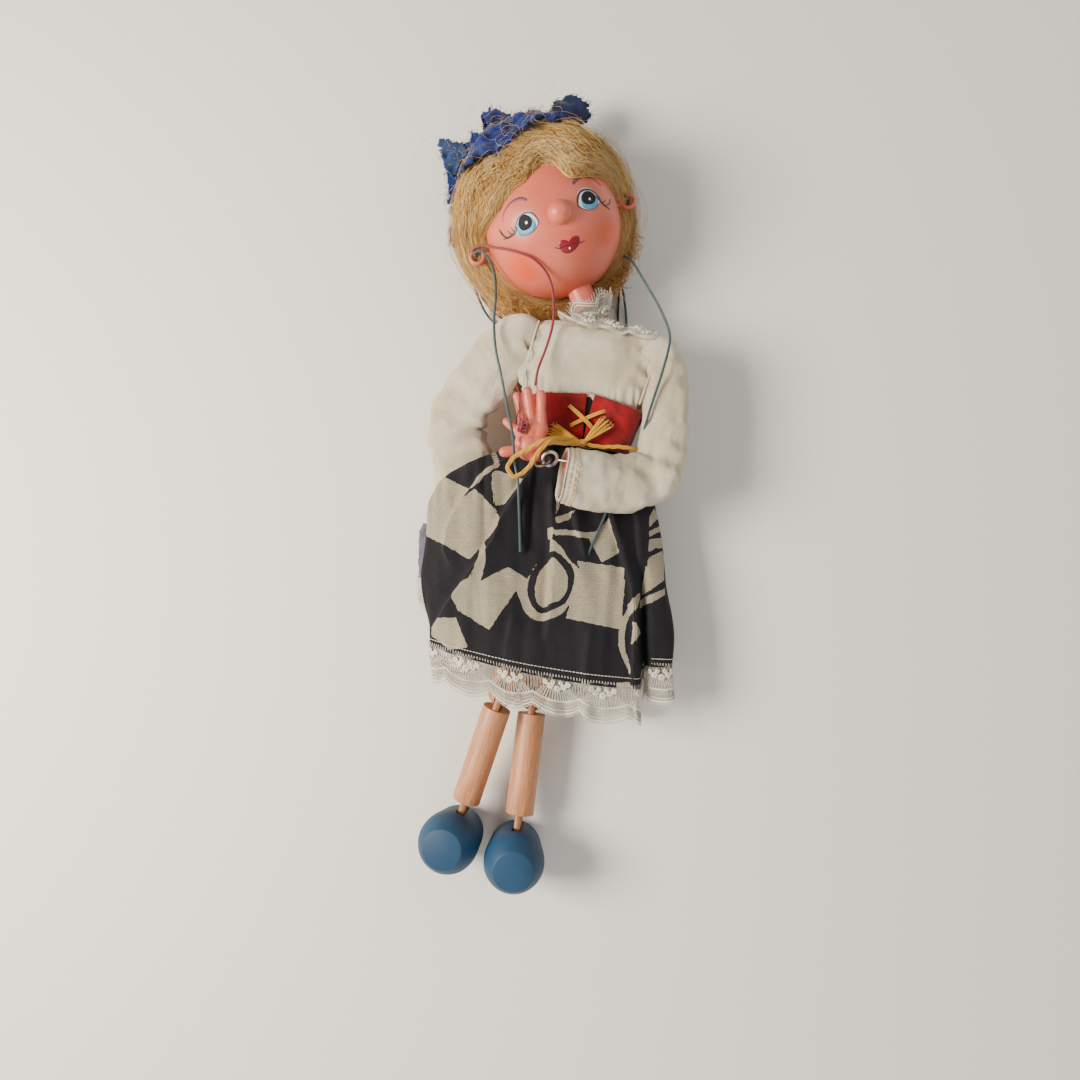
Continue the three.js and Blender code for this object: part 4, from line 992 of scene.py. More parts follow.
def build_hair():
    degrees, levels = np.arange(0, 360, 1.5), np.concatenate([np.linspace(-0.12, 1, 34), np.linspace(1, 2, 26)[1:]])
    d, q = np.meshgrid(degrees, levels)
    base = hair_point(d, q)
    swell = waves(np.stack([d.ravel() * 0.35, q.ravel() * 34, 0 * q.ravel()], 1), 9, 3).reshape(q.shape)
    lift = (0.5 + 0.7 * swell) * smooth((q + 0.1) * 5) * smooth((2 - q) * 3) - 0.9 * (q < -0.05)
    verts = hair_point(d, q, lift)
    n = len(degrees)
    uv = np.stack([q.ravel() * 28, d.ravel() * 0.5], 1)
    faces = grid_faces(len(levels), n)
    faces.append(tuple(range((len(levels) - 1) * n, len(levels) * n)))
    # painted shade: the base under the strands is darker than them, and a little lighter where it swells out, as
    # painted light
    tint = hair_tone_and_painted_shade(base, 0.1 * swell - 0.3).ravel()
    make("hair_base", verts.reshape(-1, 3), faces, HAIR, "head", ["hair_wig"], uv, tint=tint)

    for part, count, low, high in (("front", 1900, -0.05, 0.95), ("side", 1500, 0.55, 1.25),
                                   ("rear", 1200, 1.15, 1.95)):
        strands = Parts()
        clumps = rng.uniform(low, high, 70)
        for i in range(count):
            clump = clumps[i % len(clumps)]
            level = clump + rng.normal(0, 0.035)
            way = 1 if (i // len(clumps) + i) % 2 else -1
            start = 93 + rng.normal(0, 9) - 3 * way
            reach = rng.uniform(0.35, 1.0) if i % 3 else 1.0
            span = way * reach * (172 if part != "rear" else 165)
            t = np.linspace(0, 1, 34)
            gen = np.random.default_rng(1000 + (i % len(clumps)) * 3 + (way > 0))
            wander = sum(gen.normal(0, 0.05) * np.sin(t * k * 3.1 + gen.uniform(0, 6.28)) for k in (1, 2, 3, 5))
            wander = wander + sum(rng.normal(0, 0.014) * np.sin(t * k * 3.1 + rng.uniform(0, 6.28))
                                  for k in (3, 6, 10, 16))
            q = level + wander * smooth(t * 6)
            q = np.clip(q, -0.06, 1.97)
            frizz = np.abs(rng.normal(0, 0.4)) + 0.22 * np.sin(t * rng.uniform(8, 26)
                    + rng.uniform(0, 6.28)) * rng.uniform(0.1, 1)
            lifted = 0.85 + frizz + 0.7 * waves(np.stack([t * span * 0.35, q * 34, 0 * q], 1), 9, 3, 1)
            edge = smooth((q + 0.16) * 6)
            path = hair_point(start + span * t, q, lifted * edge + 0.25)
            ends = smooth((t - 0.86) / 0.14)[:, None] * rng.normal(0, 1.6, 3)
            path = path + ends * vec(1, 1, 0.4)
            path[:, 2] = np.maximum(path[:, 2], 0.5)
            shape = tube(path, 0.13 * (1 - 0.6 * t) * rng.uniform(0.7, 1.3), 3, caps=False)
            strands.add(shape, 0, hair_tone_and_painted_shade(path[None, 17], rng.normal(0.04, 0.15) + gen.normal(0, 0.16))[0])
        strands.build(f"hair_{part}", HAIR, "head", tint=True)

    fuzz = Parts()
    for i in range(420):
        a, q = rng.uniform(-20, 200) if i % 4 else rng.uniform(200, 340), rng.uniform(0.45, 1.1)
        t = np.linspace(0, 1, 16)
        length = rng.uniform(5, 26)
        rise = 1.2 + rng.uniform(0.5, 4.2) * np.sin(t * math.pi * rng.uniform(0.5, 1.0)) * (1 if i % 5 else 1.6)
        path = hair_point(a + np.sign(rng.normal()) * length * 1.9 * t, q + rng.normal(0, 0.2) * t, rise)
        path += np.cumsum(rng.normal(0, 0.12, (16, 3)), 0)
        path[:, 2] = np.maximum(path[:, 2], 0.5)
        fuzz.add(tube(spline(path, 0.9), 0.055, 3, caps=False), 0, rng.uniform(0.5, 0.95))
    for side in (1, -1):
        for i in range(340):
            # loose curls by each cheek and under the chin
            turn_at = rng.uniform(0, 1)
            start = hair_point(np.array(-20 - 62 * turn_at if side > 0 else 202 + 58 * turn_at),
                               np.array(rng.uniform(0.55, 1.05)), np.array(1.0))
            spin, radius, drift = rng.choice([-1, 1]), rng.uniform(1.2, 3.4), rng.normal(0, 1.2, 3) + vec(-side * 1.5,
                    -3.5, 0.2)
            t = np.linspace(0, 1, 18)
            phase = rng.uniform(0, 6.28)
            angle = phase + spin * t * rng.uniform(2.5, 6.5)
            path = start + drift * t[:, None] + radius * (0.4 + 0.6
                                                          * t[:, None]) * (np.stack([np.cos(angle), np.sin(angle),
                    0.4 * np.sin(angle + 1)], 1) - vec(math.cos(phase), math.sin(phase), 0.4 * math.sin(phase + 1)))
            path[:, 2] = np.maximum(path[:, 2], 0.5)
            fuzz.add(tube(path, 0.11, 3, caps=False), 0, rng.uniform(0.1, 0.7))
    fuzz.build("hair_fuzz", HAIR, "head", tint=True)


build_hair()


# ---------- hat ----------
def inside(points, outline):
    x, y = points[:, 0], points[:, 1]
    hit = np.zeros(len(points), bool)
    o = np.asarray(outline, float)
    for (ax, ay), (bx, by) in zip(o, np.roll(o, -1, 0)):
        crosses = (ay > y) != (by > y)
        hit ^= crosses & (x < (bx - ax) * (y - ay) / (by - ay + 1e-12) + ax)
    return hit


def distance_to(points, outline, closed=True):
    o = np.asarray(outline, float)
    best = np.full(len(points), 1e9)
    for a, b in zip(o, np.roll(o, -1, 0)) if closed else zip(o[:-1], o[1:]):
        d = b - a
        t = np.clip(((points - a) @ d) / max(d @ d, 1e-9), 0, 1)
        best = np.minimum(best, np.linalg.norm(points - a - t[:, None] * d, axis=1))
    return best


def signed(points, outline):
    return np.where(inside(points, outline), 1, -1) * distance_to(points, outline)


HAT_OUTLINE = [(-51.2, 123.1), (-45.1, 121.4), (-40.1, 121.1), (-38.6, 124.5), (-34.6, 124.9), (-34.4, 129.8),
               (-35.3, 133.8), (-29, 134.6), (-21.7, 130.1), (-12, 131.3), (-8.8, 128.3), (-5.2, 122), (-2.9, 119),
               (-5.3, 115.6), (-9.4, 117), (-14.1, 113.5), (-18.4, 110.6), (-22.7, 104.3), (-27.6, 102.5),
               (-33.4, 101.6), (-39.3, 100.2), (-46, 106.5), (-50.1, 115.2)]
HAT_LOBE = [(-12, 130), (-10.6, 136), (-9.5, 140), (-4.7, 143.9), (1.4, 145), (6.6, 141.7), (8.1, 135.9), (3.3, 129),
            (-5, 124)]


def patch(outline, height, cell, thick, seed, ragged=0.9):
    """A torn flat piece of felt over a height field, with ragged edges."""
    o = np.asarray(outline, float)
    lo, hi = o.min(0) - 2, o.max(0) + 2
    nx, ny = (np.ceil((hi - lo) / cell)).astype(int) + 1
    gx, gy = np.meshgrid(lo[0] + np.arange(nx) * cell, lo[1] + np.arange(ny) * cell)
    flat = np.stack([gx.ravel(), gy.ravel()], 1)
    gen = np.random.default_rng(seed)
    flat += gen.normal(0, cell * 0.16, flat.shape)
    probe = np.concatenate([flat, np.zeros((len(flat), 1))], 1)
    level = signed(flat, outline) + ragged * waves(probe, 5, seed) + 0.4 * ragged * waves(probe, 1.8, seed + 1)
    keep = level > 0
    cells = grid_faces(ny, nx, close_columns=False)
    faces = [f for f in cells if keep[list(f)].all()]
    used = sorted({i for f in faces for i in f})
    index = {v: i for i, v in enumerate(used)}
    flat = flat[used]
    top = np.concatenate([flat, height(flat)[:, None]], 1)
    faces = [tuple(index[i] for i in f) for f in faces]
    n = len(top)
    edges = {}
    for f in faces:
        for a, b in zip(f, f[1:] + f[:1]):
            edges[(a, b)] = True
    rim = [(a, b) for a, b in edges if (b, a) not in edges]
    bottom = top - vec(0, 0, thick)
    out = faces + [tuple(i + n for i in f[::-1]) for f in faces] + [(b, a, a + n, b + n) for a, b in rim]
    return np.concatenate([top, bottom]), out, np.concatenate([flat, flat]), [top[a] for a, b in rim]


def build_hat():
    def crumple(flat):
        p = np.concatenate([flat, np.zeros((len(flat), 1))], 1)
        q = np.hypot(*((flat - HAIR_CENTRE[:2]) / HAIR_RADII[:2]).T)
        hair = 23 + 27 * np.sqrt(np.clip(1 - (np.clip(q - 0.6, 0, 1) / 0.46) ** 2, 0, 1))
        over = 30 - 0.12 * (flat[:, 1] - 112) + 0.12 * (flat[:, 0] + 30)
        z = np.logaddexp(hair / 2, over / 2) * 2 + 0.8
        return z + 1.5 * waves(p, 15, 31, 2) + 1.6 * np.abs(waves(p, 9, 32, 2)) + 0.3 * waves(p, 2.5, 33, 2)

    def behind(flat):
        p = np.concatenate([flat, np.zeros((len(flat), 1))], 1)
        return 19 + 1.6 * waves(p, 12, 35, 2) + 0.2 * waves(p, 2.5, 36)

    felt_parts = Parts()
    rim = []
    verts, faces, uv, edge = patch(HAT_OUTLINE, crumple, 0.75, 1.3, 41, 1.1)
    felt_parts.add((verts, faces, uv))
    rim += edge
    verts, faces, uv, edge = patch(HAT_LOBE, behind, 0.75, 1.3, 43)
    felt_parts.add((verts, faces, uv), 1)
    rim += edge
    # the flap takes a paler copy of the blue felt
    flap = [(-52, 123.4), (-46, 122), (-41.4, 121.8), (-41, 116), (-43.6, 110.5), (-46, 105.4), (-50.6, 113)]
    verts, faces, uv, edge = patch(flap, lambda flat_: crumple(flat_) + 0.9, 0.75, 0.8, 44, 0.8)
    felt_parts.add((verts, faces, uv), 2)
    for outline, top in (([(-49.9, 112.9), (-42.1, 107.6), (-43.4, 102.6), (-43.5, 100.1), (-46.6, 102.1), (-49, 103),
                           (-49.6, 108.3)], 24), ([(-49.4, 105.5), (-44.9, 104.5), (-45.7, 100.7), (-50.2, 101.4)],
                                                  20),
                         ([(-49.6, 102.1), (-46, 101.1), (-45.2, 98.6), (-48.9, 98)], 16),
                         ([(-50.1, 94.2), (-46.6, 93.2), (-46, 88.5), (-47.2, 84.7), (-49.2, 85.6), (-50.6, 90.3)],
                          15)):
        verts, faces, uv, edge = patch(outline, lambda flat_, top=top: np.full(len(flat_), top) + 0.4
                                       * waves(np.c_[flat_, flat_[:, 0]], 4, 7), 0.5, 1.2, 48, 0.5)
        felt_parts.add((verts, faces, uv))
        rim += edge
    # the crown's side, down from the torn upper edge to the floor
    edge_line = spline([(x, y, 0) for x, y in HAT_OUTLINE[:13]], 0.7)
    hang = np.linspace(0, 1, 26)[:, None]
    lip = np.concatenate([edge_line[:, :2], crumple(edge_line[:, :2])[:, None] - 0.5], 1)
    wall = np.stack([lip[None, :, 0] + 0 * hang, lip[None, :, 1] - 1.2 + 0 * hang,
                     lip[None, :, 2] * (1 - hang) + 1.4 * hang], -1)
    buckle = (1.3 * waves(wall.reshape(-1, 3), 13, 37, 2)).reshape(wall.shape[:2]) * np.sin(hang * math.pi)
    outside = unit_rows(np.stack([lip[:, 0] + 20, lip[:, 1] - 100, 0 * lip[:, 0]], 1))
    outer = wall + buckle[..., None] * outside[None]
    felt_parts.add(loft(np.concatenate([outer.transpose(1, 0, 2),
                                        (outer - 1.1 * outside[None]).transpose(1, 0, 2)[:, ::-1]], 1)))
    # the cap that the torn crown belongs to, round the back of the head
    centre, radii = vec(-20.5, 108, 15.5), vec(28, 26, 14.6)
    rings = []
    for lat in np.linspace(-1.5, 1.5, 56):
        lon = full_turn(140)
        d = np.stack([math.cos(lat) * np.cos(lon), math.cos(lat) * np.sin(lon), np.full(140, math.sin(lat))], 1)
        p = centre + radii * d
        p += d * (1.0 * waves(p, 15, 45, 2) + 0.8 * np.abs(waves(p, 6, 46, 2)) - 0.8)[:, None]
        rings.append(p)
    rings = np.array(rings)
    rings[..., 2] = np.maximum(rings[..., 2], 0.6)
    verts, faces, uv = loft(rings)
    visible = (signed(verts[:, :2], HAT_OUTLINE) > -0.5) | (signed(verts[:, :2], HAT_LOBE)
                                                            > 0) | ((((verts[:, :2] - HAIR_CENTRE[:2])
            / (HAIR_RADII[:2] * 0.93)) ** 2).sum(1) < 1)
    ragged = visible & (verts[:, 1] + 3 * waves(verts, 9, 47) > 97)
    faces = [f for f in faces if len(f) > 4 or ragged[list(f)].all()]
    felt_parts.add((verts, faces, uv))
    hat = felt_parts.build("torn_felt_hat", [BLUE_FELT, felt("shaded_blue_felt", "122450", "0a1430"),
                                             felt("paler_blue_felt", "3a5580", "243a63")], "head", ["felt_hat"])

    fibres = Parts()
    for i in range(900):
        p = rim[rng.integers(len(rim))] + rng.normal(0, 0.2, 3)
        middle = vec(-26, 117, 30)
        out = unit((p - middle) * vec(1, 1, 0.4) + rng.normal(0, 9, 3))
        fibres.add(tube(spline([p, p + out * rng.uniform(0.4, 0.9),
                                p + out * rng.uniform(0.8, 2.2) + rng.normal(0, 0.5, 3)], 0.5), 0.05, 3, caps=False))
    flat = rng.uniform((-52, 102), (-3, 134), (3200, 2))
    flat = flat[inside(flat, HAT_OUTLINE)][:1500]
    z = crumple(flat)
    for (x, y), h in zip(flat, z):
        p = vec(x, y, h - 0.1)
        out = unit(rng.normal(0, 1, 3) + vec(0, 0, 0.5))
        fibres.add(tube(spline([p, p + out * 0.5, p + out * rng.uniform(0.6, 1.3) + rng.normal(0, 0.3, 3)], 0.4),
                        0.04, 3, caps=False))
    fibres.build("felt_fibres", BLUE_FELT, "head")

    tangle = Parts()
    for i in range(46):
        x, y = flat[rng.integers(len(flat))]
        step = rng.normal(0, 1.3, 2)
        bend = rng.normal(0, 0.28)
        pts = []
        for k in range(int(rng.uniform(7, 20))):
            c, s = math.cos(bend), math.sin(bend)
            step = np.array([c * step[0] - s * step[1], s * step[0] + c * step[1]])
            step = step / max(np.linalg.norm(step), 0.3) * 1.5
            bend += rng.normal(0, 0.12)
            x, y = x + step[0], y + step[1]
            q = np.array([[x, y]])
            h = crumple(q)[0]
            pts.append((x, y, h + 0.45 + abs(rng.normal(0, 0.5)) if inside(q, HAT_OUTLINE)[0]
                        else min(h, pts[-1][2] if pts else h) + 0.2))
        tangle.add(tube(spline(pts, 0.8), 0.05, 3, caps=False), 0, rng.uniform(0.6, 0.98))
    tangle.build("hair_on_hat", HAIR, "head", tint=True)


build_hat()


# ---------- blouse ----------
def chest_section(v):
    """Half widths to its right and left, half depth, and squareness of the blouse at that height of the chest."""
    at = [-22, -12, -7, -3, 2, 10, 18, 22, 24.5, 26]
    return [np.interp(v, at, row_) for row_ in (
        (17, 18, 19, 23.6, 27, 26, 24.8, 24, 22.5, 19), (14.6, 16.6, 18.4, 20.6, 22.4, 24, 25, 24.8, 22, 17),
        (9.7, 9.7, 9.8, 10.4, 11.6, 11.2, 10.6, 9.9, 8, 3.6), (5, 5, 5, 4, 4, 4, 3.4, 2.8, 2.4, 2.2))]


def blouse_point(angle, v):
    left_, right_, deep, power = chest_section(v)
    c, s = np.cos(angle), np.sin(angle)
    u = np.where(c > 0, right_, left_) * np.sign(c) * np.abs(c) ** (2 / power)
    w = deep * np.sign(s) * np.abs(s) ** (2 / power)
    slope = (v + 22) / 48
    p = np.stack([u, v + 1.6 * slope * (-u / 25), w], -1)
    normal = np.stack([c * 0.5, 0 * c, s], -1)
    normal /= np.linalg.norm(normal, axis=-1, keepdims=True)
    return p, normal


def build_blouse():
    levels = np.concatenate([np.linspace(-22, 22, 90), np.linspace(22, 26, 12)[1:]])
    angle = full_turn(200)
    rings = []
    for v in levels:
        p, normal = blouse_point(angle, np.full(200, v))
        soft = (0.75 * waves(p, 20, 51, 2) + 0.3 * waves(p, 7, 52, 2)) * (0.15 + 0.85 * smooth((v + 7) / 4))
        gather = 0.45 * np.sin(p[:, 0] * 2.1 + 1.5 * np.sin(p[:, 0] * 0.7)) * smooth((4 - v) / 7) * smooth((v + 8)
                / 3)
        arm = 0.9 * np.exp(-(((np.abs(p[:, 0]) - 22) / 4) ** 2)) * np.sin((v + 0.5 * np.abs(p[:, 0])) * 0.85)
        rings.append(CHEST + (p + normal * (soft + gather + arm)[:, None] * smooth((26 - v) / 3)) @ CHEST_AXES.T)
    verts, faces, uv = loft(rings)
    piece = make("blouse", verts, faces, CALICO, "chest", ["blouse_body"], uv)
    seams = Parts()
    for route in ([(-23.4, 24.5), (-24.4, 17), (-25.4, 8), (-26, 0), (-25.6, -3.5)],
                  [(24, 21.5), (24.2, 12), (22.6, 3), (20.8, -4)]):
        line = []
        for u, v in route:
            deep = chest_section(v)[2]
            line.append(on_chest(u * 0.93, v, deep * 0.86))
        line = spline(line, 0.5)
        seams.add(tube(line, 0.42, 8, flat=0.6))
        for k in range(2, len(line) - 3, 5):
            a, b = line[k] + vec(1.1, 0, 0.25), line[k + 3] + vec(1.1, 0, 0.25)
            seams.add(rod(a, b, 0.13, 5))
    seams.build("shoulder_seams", CALICO, "chest")


def sleeve(name, centres, wides, deeps, hides, elbow, seed, open_end):
    """A cloth tube round an arm. Its centres, half widths in the plane of the floor and half depths
    are at the same stations."""
    line = spline([(*c, w, d)[:3] for c, w, d in zip(centres, wides, deeps)], 0.8)
    stations = lengths(np.array(centres, float))
    stations /= stations[-1]
    t = np.linspace(0, 1, len(line))
    wide = np.interp(t, stations, wides)
    deep = np.interp(t, stations, deeps)
    for _ in range(6):
        wide[1:-1] = (wide[:-2] + 2 * wide[1:-1] + wide[2:]) / 4
        deep[1:-1] = (deep[:-2] + 2 * deep[1:-1] + deep[2:]) / 4
    tangent = np.gradient(line, axis=0)
    tangent /= np.linalg.norm(tangent, axis=1, keepdims=True)
    for _ in range(10):
        tangent[1:-1] = (tangent[:-2] + 2 * tangent[1:-1] + tangent[2:]) / 4
    tangent /= np.linalg.norm(tangent, axis=1, keepdims=True)
    side = np.cross(tangent, [0, 0, 1])
    side /= np.linalg.norm(side, axis=1, keepdims=True)
    front = np.cross(side, tangent)
    count = 110
    angle = full_turn(count)
    power = 2 / 2.5
    c, s = np.cos(angle), np.sin(angle)
    c, s = np.sign(c) * np.abs(c) ** power, np.sign(s) * np.abs(s) ** power
    outer = line[:, None] + (wide[:, None] * c)[..., None] * side[:, None] + (deep[:, None] * s)[..., None] * front[:,
            None]
    normal = c[None, :, None] * side[:, None] + s[None, :, None] * front[:, None]
    flat = outer.reshape(-1, 3)
    near = np.exp(-((np.linalg.norm(line - elbow, axis=1) / 15) ** 2))
    soft = (0.7 * waves(flat, 19, seed, 2) + 0.25 * waves(flat, 6, seed + 1, 2)).reshape(outer.shape[:2])
    crease = np.sin(np.arange(len(line))[:, None] * 0.8 * 0.62 + 1.1 * np.sin(angle)[None] + 0.6 * soft)
    soft += near[:, None] * 0.95 * crease * (0.55 - 0.45 * c[None])
    fade = smooth(np.minimum(np.arange(len(line)), 8) / 8)[:, None]
    outer = outer + normal * (soft * fade)[..., None]
    rings = list(outer)
    if open_end:
        for k in range(6):
            # the rolled edge of the cuff
            a = k / 5 * math.pi
            rings.append(outer[-1] + 0.35 * math.sin(a) * tangent[-1] + normal[-1] * (0.35 * math.cos(a) - 0.35))
        for k in range(1, 26):
            rings.append(outer[-k] - normal[-k] * 0.75)
    rings = np.array(rings)
    rings[..., 2] = np.maximum(rings[..., 2], 0.4)
    verts, faces, uv = loft(rings, caps=False)
    piece = make(name, verts, faces, CALICO, None, hides, uv)
    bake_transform(piece)
    return outer, normal


def build_sleeves():
    outer, normal = sleeve(
        "sleeve_left", [(28, 36, 26.5), (31.5, 33, 27.5), (33.6, 26, 28), (33.6, 17, 28.5), (32.9, 7, 28.5),
                        (31.4, -3, 29.4), (28.6, -11, 31), (21, -15.2, 34), (10, -15.8, 38), (0, -14.7, 41.6),
                        (-4.8, -13.8, 43.2)],
        [6.4, 7.4, 8, 8.2, 8.6, 9.2, 10, 10.6, 10.7, 10.2, 9.9], [6.4, 6.6, 6.6, 6.4, 6.2, 6, 6, 5.8, 5.7, 5.6, 5.4],
        ["upper_sleeve_left", "lower_sleeve_left"], vec(31, -6, 30), 61, True)
    stitches = Parts()
    for row_back, offset in ((3, 0), (5, 1), (6, 2)):
        ring_ = outer[-row_back] + normal[-row_back] * 0.06
        for k in range(offset, len(ring_) - 1, 3):
            stitches.add(rod(ring_[k], ring_[(k + 2) % len(ring_)], 0.26, 5))
    stitches.build("cuff_stitches", cloth("cream_thread", "e9d39a", "b98f45", 2.5), "forearm_left")
    sleeve("sleeve_right", [(-15.5, 42.5, 26), (-19.8, 44, 26.5), (-27, 37.2, 25.4), (-35.4, 28.6, 22),
                            (-43.2, 20, 17.4), (-47.6, 11.5, 14.4), (-46.6, 2, 12.8), (-44.8, -8, 11.6),
                            (-44, -20, 10.4), (-43.6, -29, 9.4)],
           [6, 8.4, 10.8, 11.2, 11, 11, 11.8, 12, 11.4, 10.8], [5, 5.8, 6, 6, 6, 6, 5.9, 5.9, 5.8, 5.6],
           ["upper_sleeve_right", "lower_sleeve_right"], vec(-46, 12, 16), 71,
           True)


build_blouse()
build_sleeves()


def build_blocks():
    """The two wooden blocks and the wires between them, inside the clothes."""
    for name, centre, axes, size in (("chest", CHEST, CHEST_AXES, vec(29, 42, 15)),
                                     ("hip", HIPS, HIP_AXES, vec(28, 20.4, 9))):
        block_ = box_object(f"{name}_wood", axes, centre, size)
        block_.data.materials.append(WOOD)
        cutters = [box_object("slot", HIP_AXES, HIPS + HIP_AXES @ vec(way * 8.5, -7.2, 0), vec(3.6, 12, 20))
                   for way in (-1, 1)] if name == "hip" else []
        cut(block_, cutters, 1.2)
        uv = block_.data.uv_layers.new(name="UVMap")
        for loop_ in block_.data.loops:
            co = block_.data.vertices[loop_.vertex_index].co * 1000
            uv.data[loop_.index].uv = (co.x, co.y)
        settle(block_, "chest" if name == "chest" else "hips", [f"{name}_block"])
    across, up_ = CHEST_AXES[:, 0], CHEST_AXES[:, 1]
    torso = Parts().add(wire_ring(NECK, across, LOOP_R, WIRE_R)).add(rod(NECK - LOOP_R * up_, WAIST + LOOP_R * up_,
            WIRE_R)).add(wire_ring(WAIST, vec(0, 0, 1), LOOP_R, WIRE_R))
    torso.build("torso_wires", STEEL, "chest", ["torso_wire"])
    arms = Parts()
    for way in (-1, 1):
        spot = CHEST + CHEST_AXES @ vec(way * 23.5, 16, 2.4)
        arms.add(wire_ring(spot, vec(0, 0, 1), LOOP_R, WIRE_R))
    arms.add(rod(CHEST + CHEST_AXES @ vec(-20.9, 16, 2.4), CHEST + CHEST_AXES @ vec(20.9, 16, 2.4), 0.45))
    arms.build("shoulder_wires", STEEL, "chest", ["shoulder_wire"])
    hip_up = HIP_AXES[:, 1]
    loop_ = WAIST - 2.6 * hip_up
    eye = Parts().add(wire_ring(loop_, HIP_AXES[:, 0], LOOP_R, WIRE_R)).add(rod(loop_ - 2.6 * hip_up,
            WAIST - 12 * hip_up, 0.45))
    eye.build("hip_eye", STEEL, "hips", ["hip_screw_eye"])
    Parts().add(rod(AXLE - 13.1 * HIP_AXES[:, 0], AXLE + 13.1 * HIP_AXES[:, 0], 0.8, 16)).build("hip_pin",
            STEEL, "hips", ["hip_axle"])


build_blocks()


# ---------- arms and hands ----------
def build_arm(side, skin):
    shoulder, elbow, wrist = SHOULDER[side], ELBOW[side], WRIST[side]
    way, fore = unit(elbow - shoulder), unit(wrist - elbow)
    elbow_axis = unit(np.cross(way, fore))
    to_hand = unit(vec(-0.9, -0.42, 0)) if side == "left" else unit(vec(0.1, -1, 0))
    wrist_axis = unit(np.cross(fore, to_hand)) if side == "left" else vec(0, 0, 1)
    for name, start, end, first, last, loop, wire in ((f"upper_arm_{side}", shoulder, elbow, vec(0, 0, 1), elbow_axis,
                                                       LOOP_R, WIRE_R),
                                                       (f"forearm_{side}", elbow, wrist, elbow_axis, wrist_axis, 2.6,
                                                        0.65)):
        d = unit(end - start)
        axes = frame_along(start, end, vec(0, 0, 1))
        profile = rounded_profile([(0.05, 6.4), (4.5, 6.4), (4.5, 20), (4.5, np.linalg.norm(end - start) - 6.4),
                                   (0.05, np.linalg.norm(end - start) - 6.4)], 0.6)
        dowel = lathe(axes, start, profile, 40)
        piece = solid(f"dowel_{name}", dowel, skin, name, [name])
        loops = Parts().add(wire_ring(start + 2.6 * d, np.cross(d, first), LOOP_R, WIRE_R)).add(rod(start + 5.2 * d,
                end - loop * d, 0.45))
        loops.add(wire_ring(end, last, loop, wire, 12, 48, 1.0))
        piece = loops.build(f"wire_{name}", STEEL, name, [f"{name}_wire"])


FINGERS = [((-2.6, 11, 0.2), (-2.7, 23.2, 0.8), 1.9, 1.75), ((-5.8, 11, 0.3), (-7.6, 24.4, 1.1), 2.05, 1.8),
           ((-8.8, 11, 0.1), (-11.3, 22.8, 0.5), 1.95, 1.65),
           ((-9.8, 9, -0.4), (-15.4, 14, -0.8), 1.9, 1.5), ((-8, 3.6, 0.2), (-16.2, 2.8, 0.4), 2.3, 1.9)]
PALM = [((-3.4, 10.5, 0), 2.6), ((-6.6, 10.4, 0), 2.9), ((-9, 9.6, 0), 2.6), ((-4.2, 5.5, 0), 2.9),
        ((-7.4, 5.4, 0.2), 3.3), ((-9.4, 6, 0), 2.6), ((-5.6, 2.4, 0), 2.9), ((-8, 2.8, 0), 2.7)]


def build_hand(side, skin):
    wrist = WRIST[side]
    mirror = vec(1, 1, 1) if side == "left" else vec(-1, 1, 1)
    axes = np.eye(3) if side == "left" else turn("Z", 196) @ turn("X", 3)
    to_hand = unit(vec(-0.9, -0.42, 0)) if side == "left" else unit(vec(0.1, -1, 0))

    def spot(p):
        return wrist + axes @ (np.array(p, float) * mirror)

    blob = Parts()

    def bead(centre, radii, sides=14):
        lat = np.linspace(-1.45, 1.45, 9)
        lon = full_turn(sides)
        blob.add(loft([centre + axes @ np.diag(radii) @ vec(0, 0, math.sin(a))
                       + (np.stack([math.cos(a) * np.cos(lon), math.cos(a) * np.sin(lon), 0 * lon], 1) * radii)
                       @ axes.T for a in lat]))

    for a, b, r0, r1 in FINGERS:
        a, b = spot(a), spot(b)
        for t in np.linspace(0, 1, 9):
            r = r0 + (r1 - r0) * t + 0.12 * math.sin(t * 9)
            bead(a + (b - a) * t, vec(r, r, r))
    for c, r in PALM:
        bead(spot(c), vec(r * 1.25, r * 1.25, r))
    hand = blob.build(f"palm_{side}", skin)
    modified(hand, ("REMESH", {"mode": "VOXEL", "voxel_size": 0.00042}), ("SMOOTH", {"factor": 0.6, "iterations": 5}))
    for p in hand.data.polygons:
        p.use_smooth = True
    room = make("room", *loft([wrist + 3.9 * np.stack([math.cos(a) * np.cos(l := full_turn(24)),
                                                       math.cos(a) * np.sin(l), np.full(24, math.sin(a))], 1)
                                                       for a in np.linspace(-1.5, 1.5, 13)])[:2], skin)
    modified(hand, ("BOOLEAN", {"object": room, "operation": "DIFFERENCE", "solver": "EXACT"}))
    bpy.data.objects.remove(room)
    hand.data.materials.clear()
    hand.data.materials.append(skin)
    settle(hand, f"hand_{side}", [f"hand_{side}"])
    wrist_axis = unit(np.cross(unit(wrist - ELBOW[side]), to_hand)) if side == "left" else vec(0, 0, 1)
    loop = wrist + 2.6 * to_hand
    rusty = metal("worn_wire", "8d6f58", 0.5)
    Parts().add(wire_ring(loop, np.cross(to_hand, wrist_axis), 2.6, 0.6, 10, 36)).add(rod(loop + 2.6 * to_hand,
            spot((-8, 4, 0)), 0.7)).build(f"wrist_loop_{side}", rusty, f"hand_{side}")


